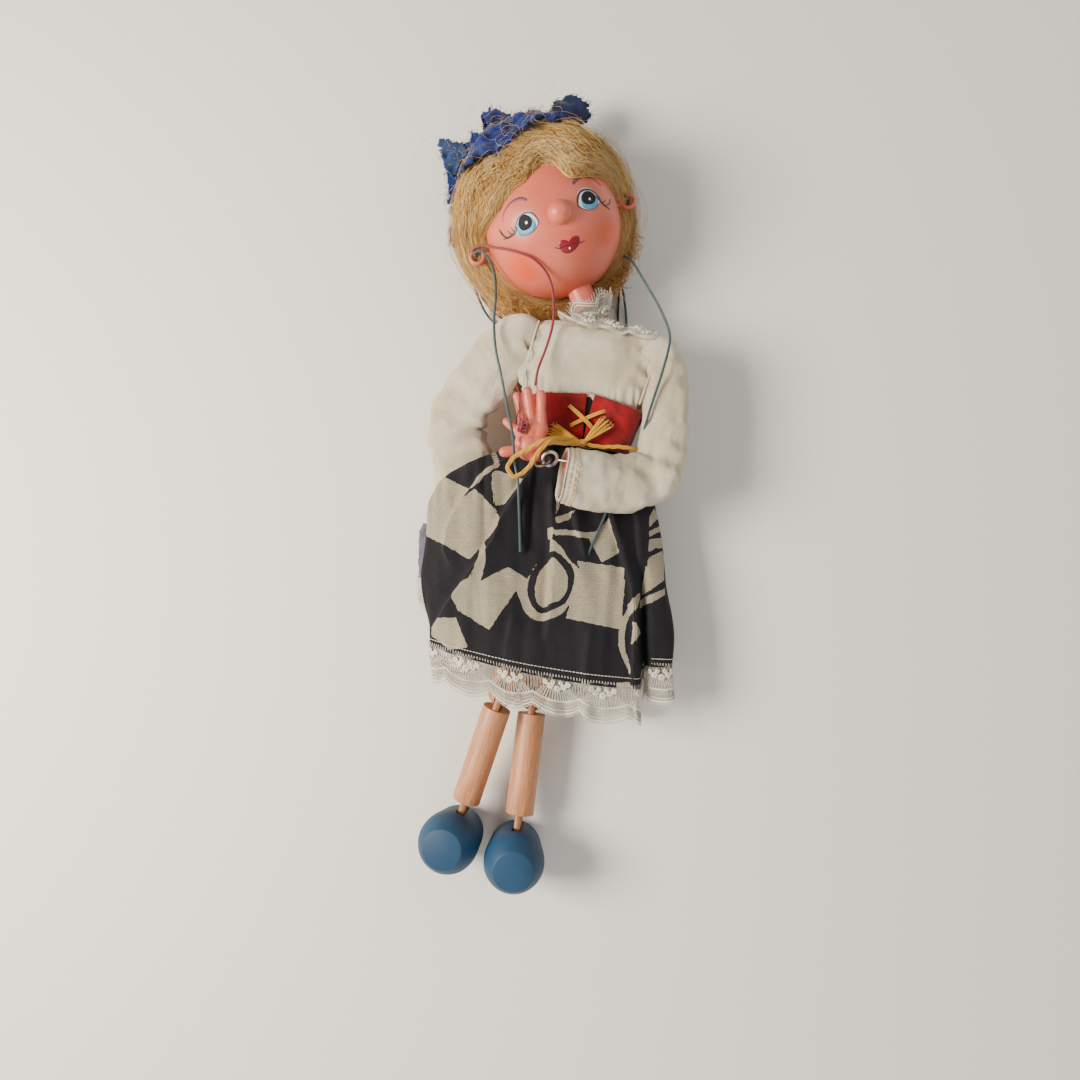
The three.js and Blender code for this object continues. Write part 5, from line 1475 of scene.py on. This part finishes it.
def build_arms():
    skin = skin_material("hand_skin")
    for side in ("left", "right"):
        build_arm(side, skin)
        build_hand(side, skin)
    knot = Parts()
    gen = np.random.default_rng(5)
    centre = vec(-19.2, 5.2, 47.6)
    for i in range(9):
        c = centre + gen.normal(0, 0.75, 3) * vec(0.8, 1.2, 0.35) + vec(0.7, -2.2, 0)
        knot.add(wire_ring(c, unit(gen.normal(size=3) + vec(0, 0, 1.2)), gen.uniform(0.8, 1.7), 0.3, 7, 22,
                           gen.uniform(0.5, 1)))
    for a, b in (((-19.6, 10.6, 46.6), (-19, 3, 47.4)), ((-19.2, 10.8, 46.6), (-20.6, 4, 47.2)),
                 ((-18.2, 8, 46.8), (-17.4, 2.5, 47.8)), ((-20.8, 4.4, 47.2), (-17, 2.2, 47.6))):
        mid = (vec(*a) + vec(*b)) / 2 + gen.normal(0, 0.4, 3) + vec(0, 0, 0.5)
        knot.add(tube(spline([a, mid, b], 0.5), 0.22, 7))
    knot.add(tube(spline([(-19.6, 10.6, 46.8), (-19.4, 15, 46.6), (-20.6, 18.6, 45.8)], 0.5), 0.25, 7))
    knot.build("hand_knot", RED_YARN, "hand_left")


build_arms()


# ---------- bodice, lacing, tie and collar ----------
def bodice_ring(front_u, way, columns, half_right, half_left, depth):
    """Half a section of the bodice, from its front edge round the side to the middle of the back."""
    half = half_right if front_u > 0 else half_left
    start = math.acos(np.sign(front_u) * (abs(front_u) / half) ** 2.5)
    angle = np.linspace(start, start - (start + math.pi / 2) if way > 0 else 1.5 * math.pi, 600)
    c, s = np.cos(angle), np.sin(angle)
    u = np.where(c > 0, half_right, half_left) * np.sign(c) * np.abs(c) ** 0.4
    w = depth * np.sign(s) * np.abs(s) ** 0.4
    along = np.concatenate([[0], np.cumsum(np.hypot(np.diff(u), np.diff(w)))])
    even = np.linspace(0, along[-1], columns)
    return np.stack([np.interp(even, along, u), np.zeros(columns), np.interp(even, along, w)], 1)


def build_bodice():
    panels = Parts()
    for way in (-1, 1):
        rings = []
        for t in np.linspace(0, 1, 34):
            columns = 90
            front_u = 0.45 + 2.3 * t**1.3 if way > 0 else 0.35 - 0.45 * t
            ring_out = bodice_ring(front_u, way, columns, 16.6 + 4.6 * t, 19.4 + 2 * t, 11.7)
            ring_in = bodice_ring(front_u + way * 0.2, way, columns, 15.7 + 4.6 * t, 18.5 + 2 * t, 10.5)
            both = []
            for ring_, extra in ((ring_out, 1), (ring_in, 0.25)):
                top = np.where(ring_[:, 2] > 0, -2.8 + (0.08 if way < 0 else -0.235)
                               * (ring_[:, 0] - (2.7 if way > 0 else 0)), -6.5)
                v = -22.6 + (top + 22.6) * t
                puff = extra * 0.4 * waves(np.stack([ring_[:, 0], v, ring_[:, 2]], 1), 12, 81, 2)
                n = unit_rows(np.stack([ring_[:, 0] * 0.15, 0 * v, ring_[:, 2]], 1))
                both.append(np.stack([ring_[:, 0], v, ring_[:, 2]], 1) + n * puff[:, None])
            ring = np.concatenate([both[0], both[1][::-1]])
            rings.append(CHEST + ring @ CHEST_AXES.T)
        panels.add(loft(rings, flip=way > 0))
    piece = panels.build("felt_bodice_panels", RED_FELT, "chest", ["felt_bodice"])
    fuzz = Parts()
    for i in range(700):
        u = rng.uniform(-20, 20)
        edge = rng.random() < 0.6
        v = (-2.9 + 0.08 * u if u < 0 else -2.2 - 0.235 * u) + rng.normal(0, 0.15) if edge else rng.uniform(-21,
                -5 if u < 0 else -7)
        p = on_chest(u, v, 11.6)
        out = unit(rng.normal(0, 1, 3) + vec(0, 1.2 if edge else 0, 0.8))
        fuzz.add(tube(spline([p, p + out * 0.35, p + out * rng.uniform(0.4, 0.9)], 0.3), 0.035, 3, caps=False))
    fuzz.build("bodice_fuzz", RED_FELT, "chest")
    # painted shade: a black sheet over the blouse in the slit between the two felt panels
    back = loft([[on_chest(u, v, w) for u, w in ((-2.6, 10), (4, 10), (4, 10.5), (-2.6, 10.5))] for v in (-21, -3.6)])
    solid("bodice_gap", back, flat_paint("painted_shade_in_slit", "17140f", 0.9), "chest")
    cross = Parts()
    for a, b in (((-2.6, 13.7), (6.6, 4.3)), ((-2.4, 5.8), (11.2, 11.1))):
        for k in (-0.34, 0.34):
            n = unit(vec(-(b[1] - a[1]), b[0] - a[0], 0)) * k
            line = [vec(*a, 34.4) + n, vec(a[0] + 0.12 * (b[0] - a[0]), a[1] + 0.12 * (b[1] - a[1]), 35.7) + n,
                    vec((a[0] + b[0]) / 2, (a[1] + b[1]) / 2, 36.4 + (0.5 if a[1] > 10 else 0)) + n,
                    vec(b[0] - 0.12 * (b[0] - a[0]), b[1] - 0.12 * (b[1] - a[1]), 35.7) + n, vec(*b, 34.4) + n]
            cross.add(tube(spline(line, 0.5), 0.42, 8))
    piece = cross.build("crossed_lacing", YELLOW, "chest", ["bodice_lacing"])


def build_tie():
    tie = Parts()
    knot = vec(2.4, -1.2, 37.6)

    def strand(points, radius=0.5, apart=0.0, phase=0.0):
        line = spline(points, 0.5)
        t = np.arange(len(line)) * 0.5
        if apart:
            way = unit_rows(np.gradient(line, axis=0))
            side = unit_rows(np.cross(way, [0, 0, 1]))
            up_ = np.cross(side, way)
            line = line + apart * (np.cos(t * 0.55 + phase)[:, None] * side + np.sin(t * 0.55 + phase)[:, None] * up_
                                   * 0.6)
        tie.add(tube(line, radius, 8))

    waist = [(2.4, -1.2, 37), (9, -2.6, 36.6), (15.5, -2.6, 35.8), (20.4, -3, 33.4), (23.4, -3.8, 28), (23, -4.4, 20),
             (18, -4.6, 13.4), (5, -3.2, 12.2), (-10, -1.4, 12.4), (-19.6, -0.6, 15), (-22.6, -0.6, 22),
             (-21.6, -0.6, 30), (-18, -0.6, 34.6), (-10, -0.6, 36.2), (-2, -0.8, 36.8), (2.4, -1.2, 37)]
    for phase in (0, 2.1, 4.2):
        strand(waist, 0.42, 0.42, phase)
    loop = [(2.4, -1.2, 38), (-3, -0.4, 41.6), (-7.4, -1.2, 47.2), (-11, -2.4, 49.6), (-16.5, -5.4, 49.8),
            (-21.4, -8.2, 49.8), (-23.6, -11.6, 49.6), (-21.4, -14.8, 49.2), (-17, -12.4, 49), (-12.6, -6.6, 50.4),
            (-9.2, -3.2, 49.6), (-4, -2.4, 44), (2.2, -1.8, 38.4)]
    for phase in (0, 2.1, 4.2):
        strand(loop, 0.42, 0.44, phase)
    for i in range(6):
        a = i * 1.05
        tie.add(wire_ring(knot + vec(0.5 * math.cos(a), 0.4 * math.sin(a), 0),
                          unit(vec(math.cos(a), math.sin(a), 0.3)), 1.05, 0.42, 7, 22))
    piece = tie.build("waist_tie_yarn", YELLOW, "chest", ["waist_tie"])
    tassels = Parts()
    for way, tips in ((-1, [(-9.6, 2.6), (-8.8, 4.4), (-8, 5.6), (-6.8, 6), (-8.6, 3.2), (-7.4, 4.8)]),
                      (1, [(11.2, 6.6), (10.2, 7.6), (9, 7.4), (12, 5.4), (12.8, 4.4), (10.8, 5.8)])):
        for i, (x, y) in enumerate(tips):
            line = [knot + vec(way * 0.5, 0.2, 0.3), knot + vec((x - 2.4) * 0.4, (y + 1.2) * 0.35,
                    1.0 + 0.25 * i % 0.7), vec(x, y, 37 + 0.3 * (i % 3))]
            tassels.add(tube(spline(line, 0.5), 0.42, 8))
            for k in range(4):
                tip = vec(x, y, 37 + 0.3 * (i % 3))
                tassels.add(tube(spline([tip - (tip - knot) * 0.03,
                                         tip + unit(tip - knot) * 0.5 + rng.normal(0, 0.15, 3),
                                         tip + unit(tip - knot) * 1.0 + rng.normal(0, 0.35, 3)], 0.4), 0.12, 4))
    tassels.build("tassels", YELLOW, "chest")


build_bodice()
build_tie()


def thread(parts, points, radius=0.16, sides=4):
    points = np.asarray(points, float)
    keep = np.concatenate([[True], np.linalg.norm(np.diff(points, axis=0), axis=1) > 0.02])
    if keep.sum() > 1:
        parts.add(tube(points[keep], radius, sides, caps=False))


def lace(parts, surface, length, repeats, width, cords=0.36, density=1.0):
    """Machine lace on a surface, with scallops at its low edge: surface(s, w) gives points s millimetres
    along its band and w down it."""
    pitch = length / repeats
    for r in range(repeats):
        s0 = r * pitch

        def arc(x, base, dip):
            return base + dip * (1 - np.abs(2 * x - 1) ** 2.2)

        x = np.linspace(0, 1, 30)
        for base, dip, radius in ((width - 3.6, 3.2, cords), (width - 4.8, 3.1, 0.22),
                                  (width - 7.6, 2.5, cords * 0.85)):
            thread(parts, surface(s0 + x * pitch, arc(x, base, dip)), radius, 5)
        picot = np.linspace(0, 1, 120)
        thread(parts, surface(s0 + picot * pitch, arc(picot, width - 3.0, 3.2) + 0.6
                              * np.abs(np.sin(picot * math.pi * round(13 * density)))), 0.16)
        # dense net between the two cords
        for k in np.linspace(0.02, 0.98, int(34 * density)):
            for lean in (-0.05, 0.05):
                a, b = arc(k, width - 7.6, 2.5), arc(np.clip(k + lean, 0, 1), width - 3.6, 3.2)
                thread(parts, surface(s0 + np.array([k, k + lean / 2, k + lean]) * pitch,
                                      np.array([a, (a + b) / 2, b])), 0.125, 3)
        # ladder bars fanned from the flowers to the inner cord
        for k in np.linspace(0.06, 0.94, int(15 * density)):
            top = 0.5 + (k - 0.5) * 0.62
            a, b = 3.6 + 1.2 * (1 - abs(2 * top - 1)), arc(k, width - 7.6, 2.5)
            thread(parts, surface(s0 + np.array([top, (top + k) / 2, k]) * pitch, np.array([a, (a + b) / 2, b])),
                   0.19)
        # flowers of padded stitches
        for fx, fw, size in ((0.26, 2.6, 1.15), (0.36, 3.8, 1.3), (0.5, 4.7, 1.45), (0.64, 3.9, 1.3),
                             (0.74, 2.7, 1.15), (0.42, 2.4, 0.9), (0.58, 2.4, 0.9)):
            for petal in range(6):
                a = petal * math.pi / 3
                reach = np.array([0.15, 0.5, 0.85]) * size * density**0.7
                thread(parts, surface(s0 + fx * pitch + reach * math.cos(a), fw + reach * math.sin(a))
                       + vec(0, 0, 0.4), 0.6, 5)
        # open net near the top
        for k in np.arange(0, 1, 1 / (16 * density)):
            for lean in (-1, 1):
                s = s0 + (k + lean * np.array([0, 0.03, 0.06])) * pitch
                low_ = 3.0 if abs(k - 0.5) < 0.3 else arc(k, width - 7.6, 2.5)
                thread(parts, surface(s, np.array([-0.6, low_ / 2, low_])), 0.11, 3)
    return parts


def build_collar():
    axes = frame_along(NECK, HEAD, vec(0, 0, 1))
    turns, width = 48.0, 10.5

    def surface(s, w):
        s, w = paired(s, w)
        a = s / turns * 2 * math.pi
        ruffle = np.sin(a * 7 + 0.7 * np.sin(a * 2)) * (0.15 + 0.16 * w)
        radius = 5.4 + 0.5 * w
        up_ = 1.8 + 0.82 * w + ruffle * 0.6
        p = NECK + up_[..., None] * axes[:, 1] + radius[..., None] * (np.cos(a)[..., None] * axes[:, 0]
                + np.sin(a)[..., None] * axes[:, 2])
        p[..., 2] = np.maximum(p[..., 2], 12)
        return p

    collar = lace(Parts(), surface, turns, 5, width, 0.26, 0.45)
    for k in np.arange(0, 1, 1 / 54):
        # comb-like teeth round the edge
        thread(collar, surface(k * turns + np.array([0, 0, 0]), np.array([width - 1.6, width - 0.4, width + 1.1])),
               0.16, 3)

    def trail(s, w):
        s, w = paired(s, w)
        u = -9 + s
        v = 27.4 - 0.1 * u - 0.6 * w + 0.5 * np.sin(s * 0.55)
        depth = 8.6 + 0.35 * w + 0.6 * np.sin(s * 0.8 + w * 0.4) - 0.035 * s
        return CHEST + np.stack([u, v, depth], -1) @ CHEST_AXES.T

    lace(collar, trail, 32, 3, 8.5, 0.26, 0.5)
    piece = collar.build("collar_lace", LACE, "chest", ["lace_collar"])
    band = []
    for t in np.arange(0, 64) / 64 * 2 * math.pi:
        section = []
        for r, h in ((5.0, 0.6), (5.5, 0.6), (5.7, 2.2), (5.2, 2.2)):
            section.append(NECK + axes[:, 1] * h + r * (math.cos(t) * axes[:, 0] + math.sin(t) * axes[:, 2]))
        band.append(section)
    rings = np.array(band)
    faces = grid_faces(64, 4, close_rows=True)
    make("collar_band", rings.reshape(-1, 3), faces, CALICO, "chest", uv=np.zeros((256, 2)))


build_collar()


# ---------- skirt ----------
# place along Y, middle, half width, height of its edge, rise of its front, drop of its back, slant,
# lift over the right arm
SKIRT_LEVELS = np.array([(-0.4, 0, 20.6, 22, 9.4, 9.4, -0.1, 1), (-1.9, -1, 21.5, 22, 9.8, 9.5, -0.14, 1),
                         (-5.4, -9, 32, 20, 10.4, 8, -0.05, 1), (-9.4, -14, 38.5, 18.8, 11, 7.2, 0.02, 1),
                         (-20, -14.6, 43.6, 18.5, 11, 7.2, 0, 1), (-48, -13.6, 46.6, 18.5, 11, 7.2, 0, 1),
                         (-62, -12.6, 46.6, 18.5, 11, 9.5, -0.06, 1), (-72, -12.2, 46.6, 18.5, 11, 12, -0.12, 0.5),
                         (-85.4, -12, 46.6, 18.5, 11, 12.2, -0.2, 0)])
# folds in its front: (route, height, how far it falls off to the left and right)
FOLDS = [([(-9.6, -12), (-9.8, -30), (-9.4, -46), (-10.6, -60), (-13, -74)], 4.2, 7, 9),
         ([(-15, -6), (-22, -17), (-28.4, -27), (-32, -36), (-41, -48), (-50, -60), (-56, -70)], 3.2, 7, 10),
         ([(-22, -3), (-32, -8), (-40, -16), (-46, -24), (-49.4, -31), (-50.4, -38), (-47, -46)], 2.6, 6, 7),
         ([(10, -18), (13.6, -30), (17, -42), (20, -54), (20.6, -70), (19, -92)], 2.4, 9, 2.4),
         ([(-3, -8), (-2, -24), (1.5, -38), (3, -46)], 1.8, 5, 5), ([(20, -14), (22.5, -30), (23.4, -50)], 1.8, 4, 3),
         ([(-15, -6), (-17, -20), (-18.6, -36), (-20, -44)], -2.0, 4, 4),
         ([(-24, -60), (-27, -74), (-28, -86)], 1.3, 7, 7), ([(4, -66), (2, -78), (1, -92)], 1.3, 8, 8)]


def fold_height(x, y):
    p = np.stack([x, y], 1)
    total = np.zeros(len(p))
    for route, height, left_, right_ in FOLDS:
        o = np.asarray(route, float)
        best, sign, along = np.full(len(p), 1e9), np.ones(len(p)), np.zeros(len(p))
        gone = 0.0
        for a, b in zip(o[:-1], o[1:]):
            d = b - a
            n = np.linalg.norm(d)
            t = np.clip(((p - a) @ d) / (n * n), 0, 1)
            away = p - a - t[:, None] * d
            dist = np.linalg.norm(away, axis=1)
            closer = dist < best
            best = np.where(closer, dist, best)
            sign = np.where(closer, np.sign(d[0] * away[:, 1] - d[1] * away[:, 0]), sign)
            along = np.where(closer, gone + t * n, along)
            gone += n
        window = smooth(along / 8) * smooth((gone - along) / 10)
        step = np.where(sign > 0, np.exp(-best / right_), -0.75 * np.exp(-best / left_) + 1.75 * np.exp(-best / 0.9))
        total += height * window * step
    return total


def skirt_surface(angle, v, folded=True):
    """angle from its left-hand edge over the front; v is 0 at the waist and 1 at the hem."""
    angle, v = np.broadcast_arrays(np.asarray(angle, float), np.asarray(v, float))
    shape = angle.shape
    angle, v = angle.ravel(), v.ravel()
    depth = np.cumsum(np.concatenate([[0], -np.diff(SKIRT_LEVELS[:, 0])]))
    knots = depth / depth[-1]
    fine = np.linspace(0, 1, 200)
    rows_ = []
    for column in range(8):
        values = np.interp(fine, knots, SKIRT_LEVELS[:, column])
        if column:
            padded = np.concatenate([np.full(6, values[0]), values, np.full(6, values[-1])])
            values = np.convolve(padded, np.ones(13) / 13, "same")[6:-6]
        rows_.append(np.interp(v, fine, values))
    y0, middle, half, edge, rise, drop, slant, lift = rows_
    c, s = np.cos(angle), np.sin(angle)
    x = middle + half * c
    y = y0 + slant * (x - middle)
    lifted = lift * smooth((-x - 20) / 11)
    height = np.where(s > 0, rise - 1.5 * lifted, drop + (3.2 - drop) * lifted)
    z = edge + 3.4 * lifted + height * np.sign(s) * np.abs(s) ** 0.85
    # its right-hand panel stops short of the front one
    right_ = smooth((x - 21.5) / 2.5)
    y = y + v**3 * (8.5 * right_ + 0.0016 * (x + 12) ** 2)
    if folded:
        front = smooth((s + 0.05) * 4)
        gather = np.sin(x * 1.15 + 1.3 * np.sin(x * 0.37 + 1)) * np.exp(-v * 5.5) * 0.8
        z = z + front * (fold_height(x, y) + gather) - front * 6.5 * np.exp(-(((x - 23.2) / 1.7) ** 2)) * smooth((v
                - 0.45) * 3)
        p = np.stack([x, y, z], 1)
        swell = 1.0 * waves(p * vec(1, 0.35, 0.5), 19, 91, 2) + 0.16 * waves(p, 6, 92, 2)
        z = z + front * swell
        side = smooth((0.35 - s) * 4)
        x = x + side * c * (1.1 * np.sin(y * 0.16 + angle * 3) * v - 0.4)
        z = z - (1 - front) * np.sin(x * 0.45) * 0.8 * smooth((z - 3) / 3) * (s < 0)
    z = np.maximum(z, 0.7)
    return np.stack([x, y, z], 1).reshape(*shape, 3)


# the cream shapes of the printed cloth, in the X and Y of the skirt as it lies, each with the holes in it
PRINT = [
    ([(-53.1, -9.0), (-40.0, -15.8), (-44.3, -20.5), (-47.5, -25.3), (-49.1, -30.5), (-49.8, -36.4), (-56.6, -33.1),
      (-61.8, -29.7), (-61.0, -23.5), (-59.0, -15.8), (-56.2, -12.0)], [], False),  # upper left panel
    ([(-40.0, -15.8), (-38.5, -12.8), (-36.1, -9.9), (-32.7, -7.5), (-30.5, -8.0), (-31.9, -9.7), (-35.0, -11.7),
      (-37.7, -14.9)], [], True),  # band above it
    ([(-34.3, 0.2), (-30.8, -0.5), (-28.2, -7.4), (-30.2, -9.1), (-30.8, -6.1), (-32.8, -1.7)], [],
     False),  # thin stripe
    ([(-31.5, -10.5), (-29.9, -9.1), (-26.5, -10.3), (-20.1, -12.5), (-25.1, -19.0), (-27.4, -21.7), (-31.2, -22.4),
      (-31.5, -16.2)], [], False),  # upper square
    ([(-38.1, -15.9), (-31.8, -22.3), (-28.8, -26.8), (-29.8, -30.1), (-40.4, -42.2), (-49.8, -36.4), (-49.1, -30.5),
      (-47.5, -25.3), (-44.3, -20.5)], [], False),  # middle panel
    ([(-35.7, -34.4), (-34.4, -37.1), (-33.9, -41.6), (-34.9, -46.8), (-36.7, -51.0), (-40.2, -50.4), (-38.2, -45.2),
      (-37.1, -41.5), (-36.6, -37.4)], [], True),  # curved stripe
    ([(-47.2, -54.7), (-44.0, -50.6), (-39.8, -49.0), (-37.1, -51.0), (-26.1, -45.1), (-19.1, -49.5), (-22.8, -53.4),
      (-33.1, -68.2), (-44.5, -60.8)], [], False),  # lower panel
    ([(-19.1, -49.5), (-15.0, -43.6), (-10.5, -40.5), (-9.8, -35.5), (-6.0, -38.5), (-3.2, -43.0), (0.6, -47.3),
      (-1.1, -52.5), (-3.4, -58.5), (-6.0, -62.3), (-10.8, -64.5), (-15.2, -65.1), (-19.6, -62.5), (-21.9, -57.4),
      (-22.8, -53.4)], [[(-9.4, -39.8), (-14.6, -43.1), (-17.8, -47.9), (-19.1, -53.0), (-18.5, -57.4),
                         (-16.3, -61.1), (-14.1, -62.6), (-10.8, -61.5), (-5.6, -59.1), (-2.5, -54.0), (-1.6, -48.1),
                         (-4.6, -42.9)]], True),  # ring
    ([(-10.9, -43.2), (-14.1, -46.5), (-16.0, -50.8), (-16.4, -55.2), (-15.2, -58.8), (-13.1, -60.4), (-10.8, -59.1),
      (-6.6, -57.4), (-4.2, -53.2), (-4.3, -48.2), (-6.9, -44.2), (-9.4, -42.1)], [], True),  # middle of the ring
    ([(-11.4, -30.8), (-8.7, -31.4), (-9.5, -35.6), (-11.1, -34.7)], [], False),  # small square
    ([(-9.2, -32.1), (-3.0, -32.1), (2.9, -33.1), (6.9, -32.4), (9.9, -29.6), (6.5, -34.6), (2.8, -35.4),
      (-3.0, -33.9), (-8.3, -34.1)], [], False),  # band
    ([(3.8, -35.3), (11.8, -27.5), (15.6, -40.2), (8.5, -44.0)], [], False),  # grey diamond
    ([(-0.6, -43.4), (17.3, -46.1), (15.0, -68.6), (-5.0, -64.3), (-3.1, -58.4), (0.6, -47.3)], [],
     False),  # big square
    ([(-7.6, -20.2), (-6.4, -20.8), (-6.7, -24.4), (-7.8, -26.2)], [], False),  # by the cuff
    ([(-8.2, -27.7), (-0.5, -24.6), (-2.9, -28.1), (-7.5, -29.9)], [], False),  # below that one
    ([(22.4, -55.1), (17.3, -61.2), (14.4, -68.8), (14.1, -75.3), (15.8, -80.4), (18.5, -85.1), (18.5, -82.2),
      (16.6, -76.8), (16.2, -71.7), (17.2, -66.3), (21.4, -60.1)], [], True),  # right band
    ([(19.9, -65.2), (22.4, -69.8), (19.2, -74.3)], [], False),  # leaf
    ([(26.5, -26.6), (28.8, -23.7), (30.8, -26.4), (26.3, -31.2)], [], False),  # top shape of the zigzag at the right
    ([(26.3, -32.3), (31.5, -29.4), (31.9, -31.7), (26.2, -34.6)], [],
     False),  # second shape of the zigzag at the right
    ([(26.2, -35.5), (32.1, -34.3), (32.4, -38.5), (28.7, -38.6), (25.8, -40.3)], [],
     False),  # third shape of the zigzag at the right
    ([(25.6, -42.4), (31.2, -39.6), (32.3, -42.3), (31.8, -50.5), (23.3, -56.5), (24.6, -48.4)], [],
     False),  # fourth shape of the zigzag at the right
    ([(22.2, -58.1), (31.9, -53.5), (32.0, -56.1), (22.2, -61.0)], [],
     False),  # lowest shape of the zigzag at the right
    ([(-56.0, -66.9), (-53.3, -63.5), (-45.4, -63.5), (-41.3, -74.6), (-48.5, -75.3), (-55.8, -70.2)], [],
     False),  # low left
    ([(12.9, -87.7), (18.5, -87.8), (18.5, -91.3), (12.8, -91.2)], [], False),  # hem end
]


def print_field(x, y):
    p = np.stack([x, y], 1)
    wobble = 0.12 * waves(np.stack([x, y, 0 * x], 1), 2.2, 95, 1)
    total = np.full(len(p), -9.0)
    for outline, holes, rounded in PRINT:
        edge = spline([(a, b, 0) for a, b in outline], 1.2, closed=True)[:-1, :2] if rounded else np.array(outline)
        level = signed(p, edge)
        for hole in holes:
            level = np.minimum(level, -signed(p, spline([(a, b, 0) for a, b in hole], 1.2, closed=True)[:-1, :2]))
        total = np.maximum(total, level)
    return np.clip(total + wobble, -3, 3)


def printed_cotton():
    look = Look("printed_cotton", 0.9)
    shape = look.node("ShaderNodeAttribute", 2, {"attribute_name": "tint"})
    web, _, y = look.weave(0.75, 1.45)
    rib = look.maths("MULTIPLY", y, 0.5)
    grain = look.noise(1.0, 4, 0.65, look.place("UV", (2.2, 1.1, 1)))
    broken = look.maths("ADD", shape, look.maths("MULTIPLY", look.maths("SUBTRACT", grain, 0.5), 0.35))
    mask = look.ramp(broken, (0.49, (0, 0, 0, 1)), (0.52, (1, 1, 1, 1)))
    dark = look.ramp(grain, (0.3, colour("0d0911")), (0.7, colour("1b1522")))
    cream = look.ramp(grain, (0.3, colour("9c917b")), (0.66, colour("c9bea6")))
    cream = look.mix(0.5, cream, look.ramp(rib, (0.2, colour("a59a86")), (0.6, (1, 1, 1, 1))), "MULTIPLY")
    dark = look.mix(0.5, dark, look.ramp(rib, (0.1, colour("0e0b12")), (0.6, (1, 1, 1, 1))), "MULTIPLY")
    look.bump((web, 0.1), (grain, 0.1))
    return look.base(look.mix(mask, dark, cream))


def build_skirt():
    front = np.linspace(0.0, math.pi, 231)
    rear = np.linspace(math.pi, 2 * math.pi, 81)[1:-1]
    angle = np.concatenate([front, rear])
    v = np.linspace(0, 1, 150)
    a, b = np.meshgrid(angle, v)
    top = skirt_surface(a, b)
    n, m = top.shape[:2]
    middle = top.mean(1, keepdims=True)
    inner = top + unit_rows((middle - top).reshape(-1, 3)).reshape(top.shape) * 0.55
    turned = top[-1] + vec(0, -0.35, 0)
    rings = np.concatenate([top, turned[None], inner[::-1]])
    rings[..., 2] = np.maximum(rings[..., 2], 0.5)
    faces = grid_faces(len(rings), m, close_rows=True, flip=True)
    across = lengths(top[n // 2])
    uv = np.stack(np.meshgrid(across, np.concatenate([v * 84, [84.5], v[::-1] * 84])), -1).reshape(-1, 2)
    flat = skirt_surface(a, b, False)
    flat = np.concatenate([flat, flat[-1:], flat[::-1]])
    field = print_field(flat[..., 0].ravel(), flat[..., 1].ravel())
    piece = make("skirt_cloth", rings.reshape(-1, 3), faces, printed_cotton(), "hips", ["skirt"], uv,
                 tint=0.5 + field)
    stitches = Parts()
    run = skirt_surface(np.linspace(0.02, math.pi - 0.02, 420), np.full(420, 0.962)) + vec(0, 0, 0.1)
    for k in range(0, 415, 4):
        stitches.add(rod(run[k], run[k + 3], 0.17, 5))
    stitches.build("hem_stitches", LACE, "hips")

    hem = skirt_surface(np.linspace(0, 2 * math.pi, 721), np.full(721, 0.99))
    along = lengths(hem)
    total = along[-1]

    def drop(s, w):
        s, w = paired(s, w)
        where = np.mod(s, total)
        base = np.stack([np.interp(where, along, hem[:, i]) for i in range(3)], -1)
        t = w / 14
        base[..., 1] -= w * 0.97
        base[..., 0] += 0.8 * t * np.sin(s * 0.23)
        base[..., 2] += -1.6 * t + 0.9 * t * np.sin(s * 0.41) + 0.4 * t * np.sin(s * 0.93)
        base[..., 2] = np.maximum(base[..., 2], 0.6)
        return base

    # the rear layer, folded out past its right side with its own lace
    def turned_out(flat_):
        return 12.5 - 0.35 * np.maximum(0, -60 - flat_[:, 0]) ** 1.3 + 0.7 * waves(np.c_[flat_, flat_[:, 0]], 9, 97)

    outline = [(-63.1, -27.5), (-61.6, -25.4), (-59, -26.5), (-54, -34.8), (-52, -44.7), (-54.6, -47.5), (-60, -47),
               (-64.2, -48), (-64.2, -38)]
    verts, faces, uv, _ = patch(outline, turned_out, 0.5, 0.6, 98, 0.3)
    spot_ = np.hypot((verts[:, 0] + 61.6) / 2.1, (verts[:, 1] + 35) / 6)
    make("skirt_turnback", verts, faces, bpy.data.materials["printed_cotton"], "hips", uv=uv,
         tint=0.5 + 6 * (1 - spot_))

    def fringe(s, w):
        s, w = paired(s, w)
        x, y = -64 + s * 0.9, -46.6 - w - 0.1 * s
        z = turned_out(np.stack([x.ravel(), y.ravel()], 1)).reshape(x.shape)
        return np.stack([x, y, z], -1)

    trim = lace(Parts(), fringe, 10, 1, 13, 0.36, 0.7)
    trim = lace(trim, drop, total, 13, 14.5)
    piece = trim.build("hem_lace", LACE, "hips", ["skirt_lace"])


build_skirt()


floor = make("floor", np.array([(-3000, -3000, 0), (3000, -3000, 0), (3000, 3000, 0), (-3000, 3000, 0)]) - OFFSET
             * 1000 * vec(0, 0, 1), [(0, 1, 2, 3)], Look("floor_card", 0.7).base(colour("e9e5dd")), shade=False)
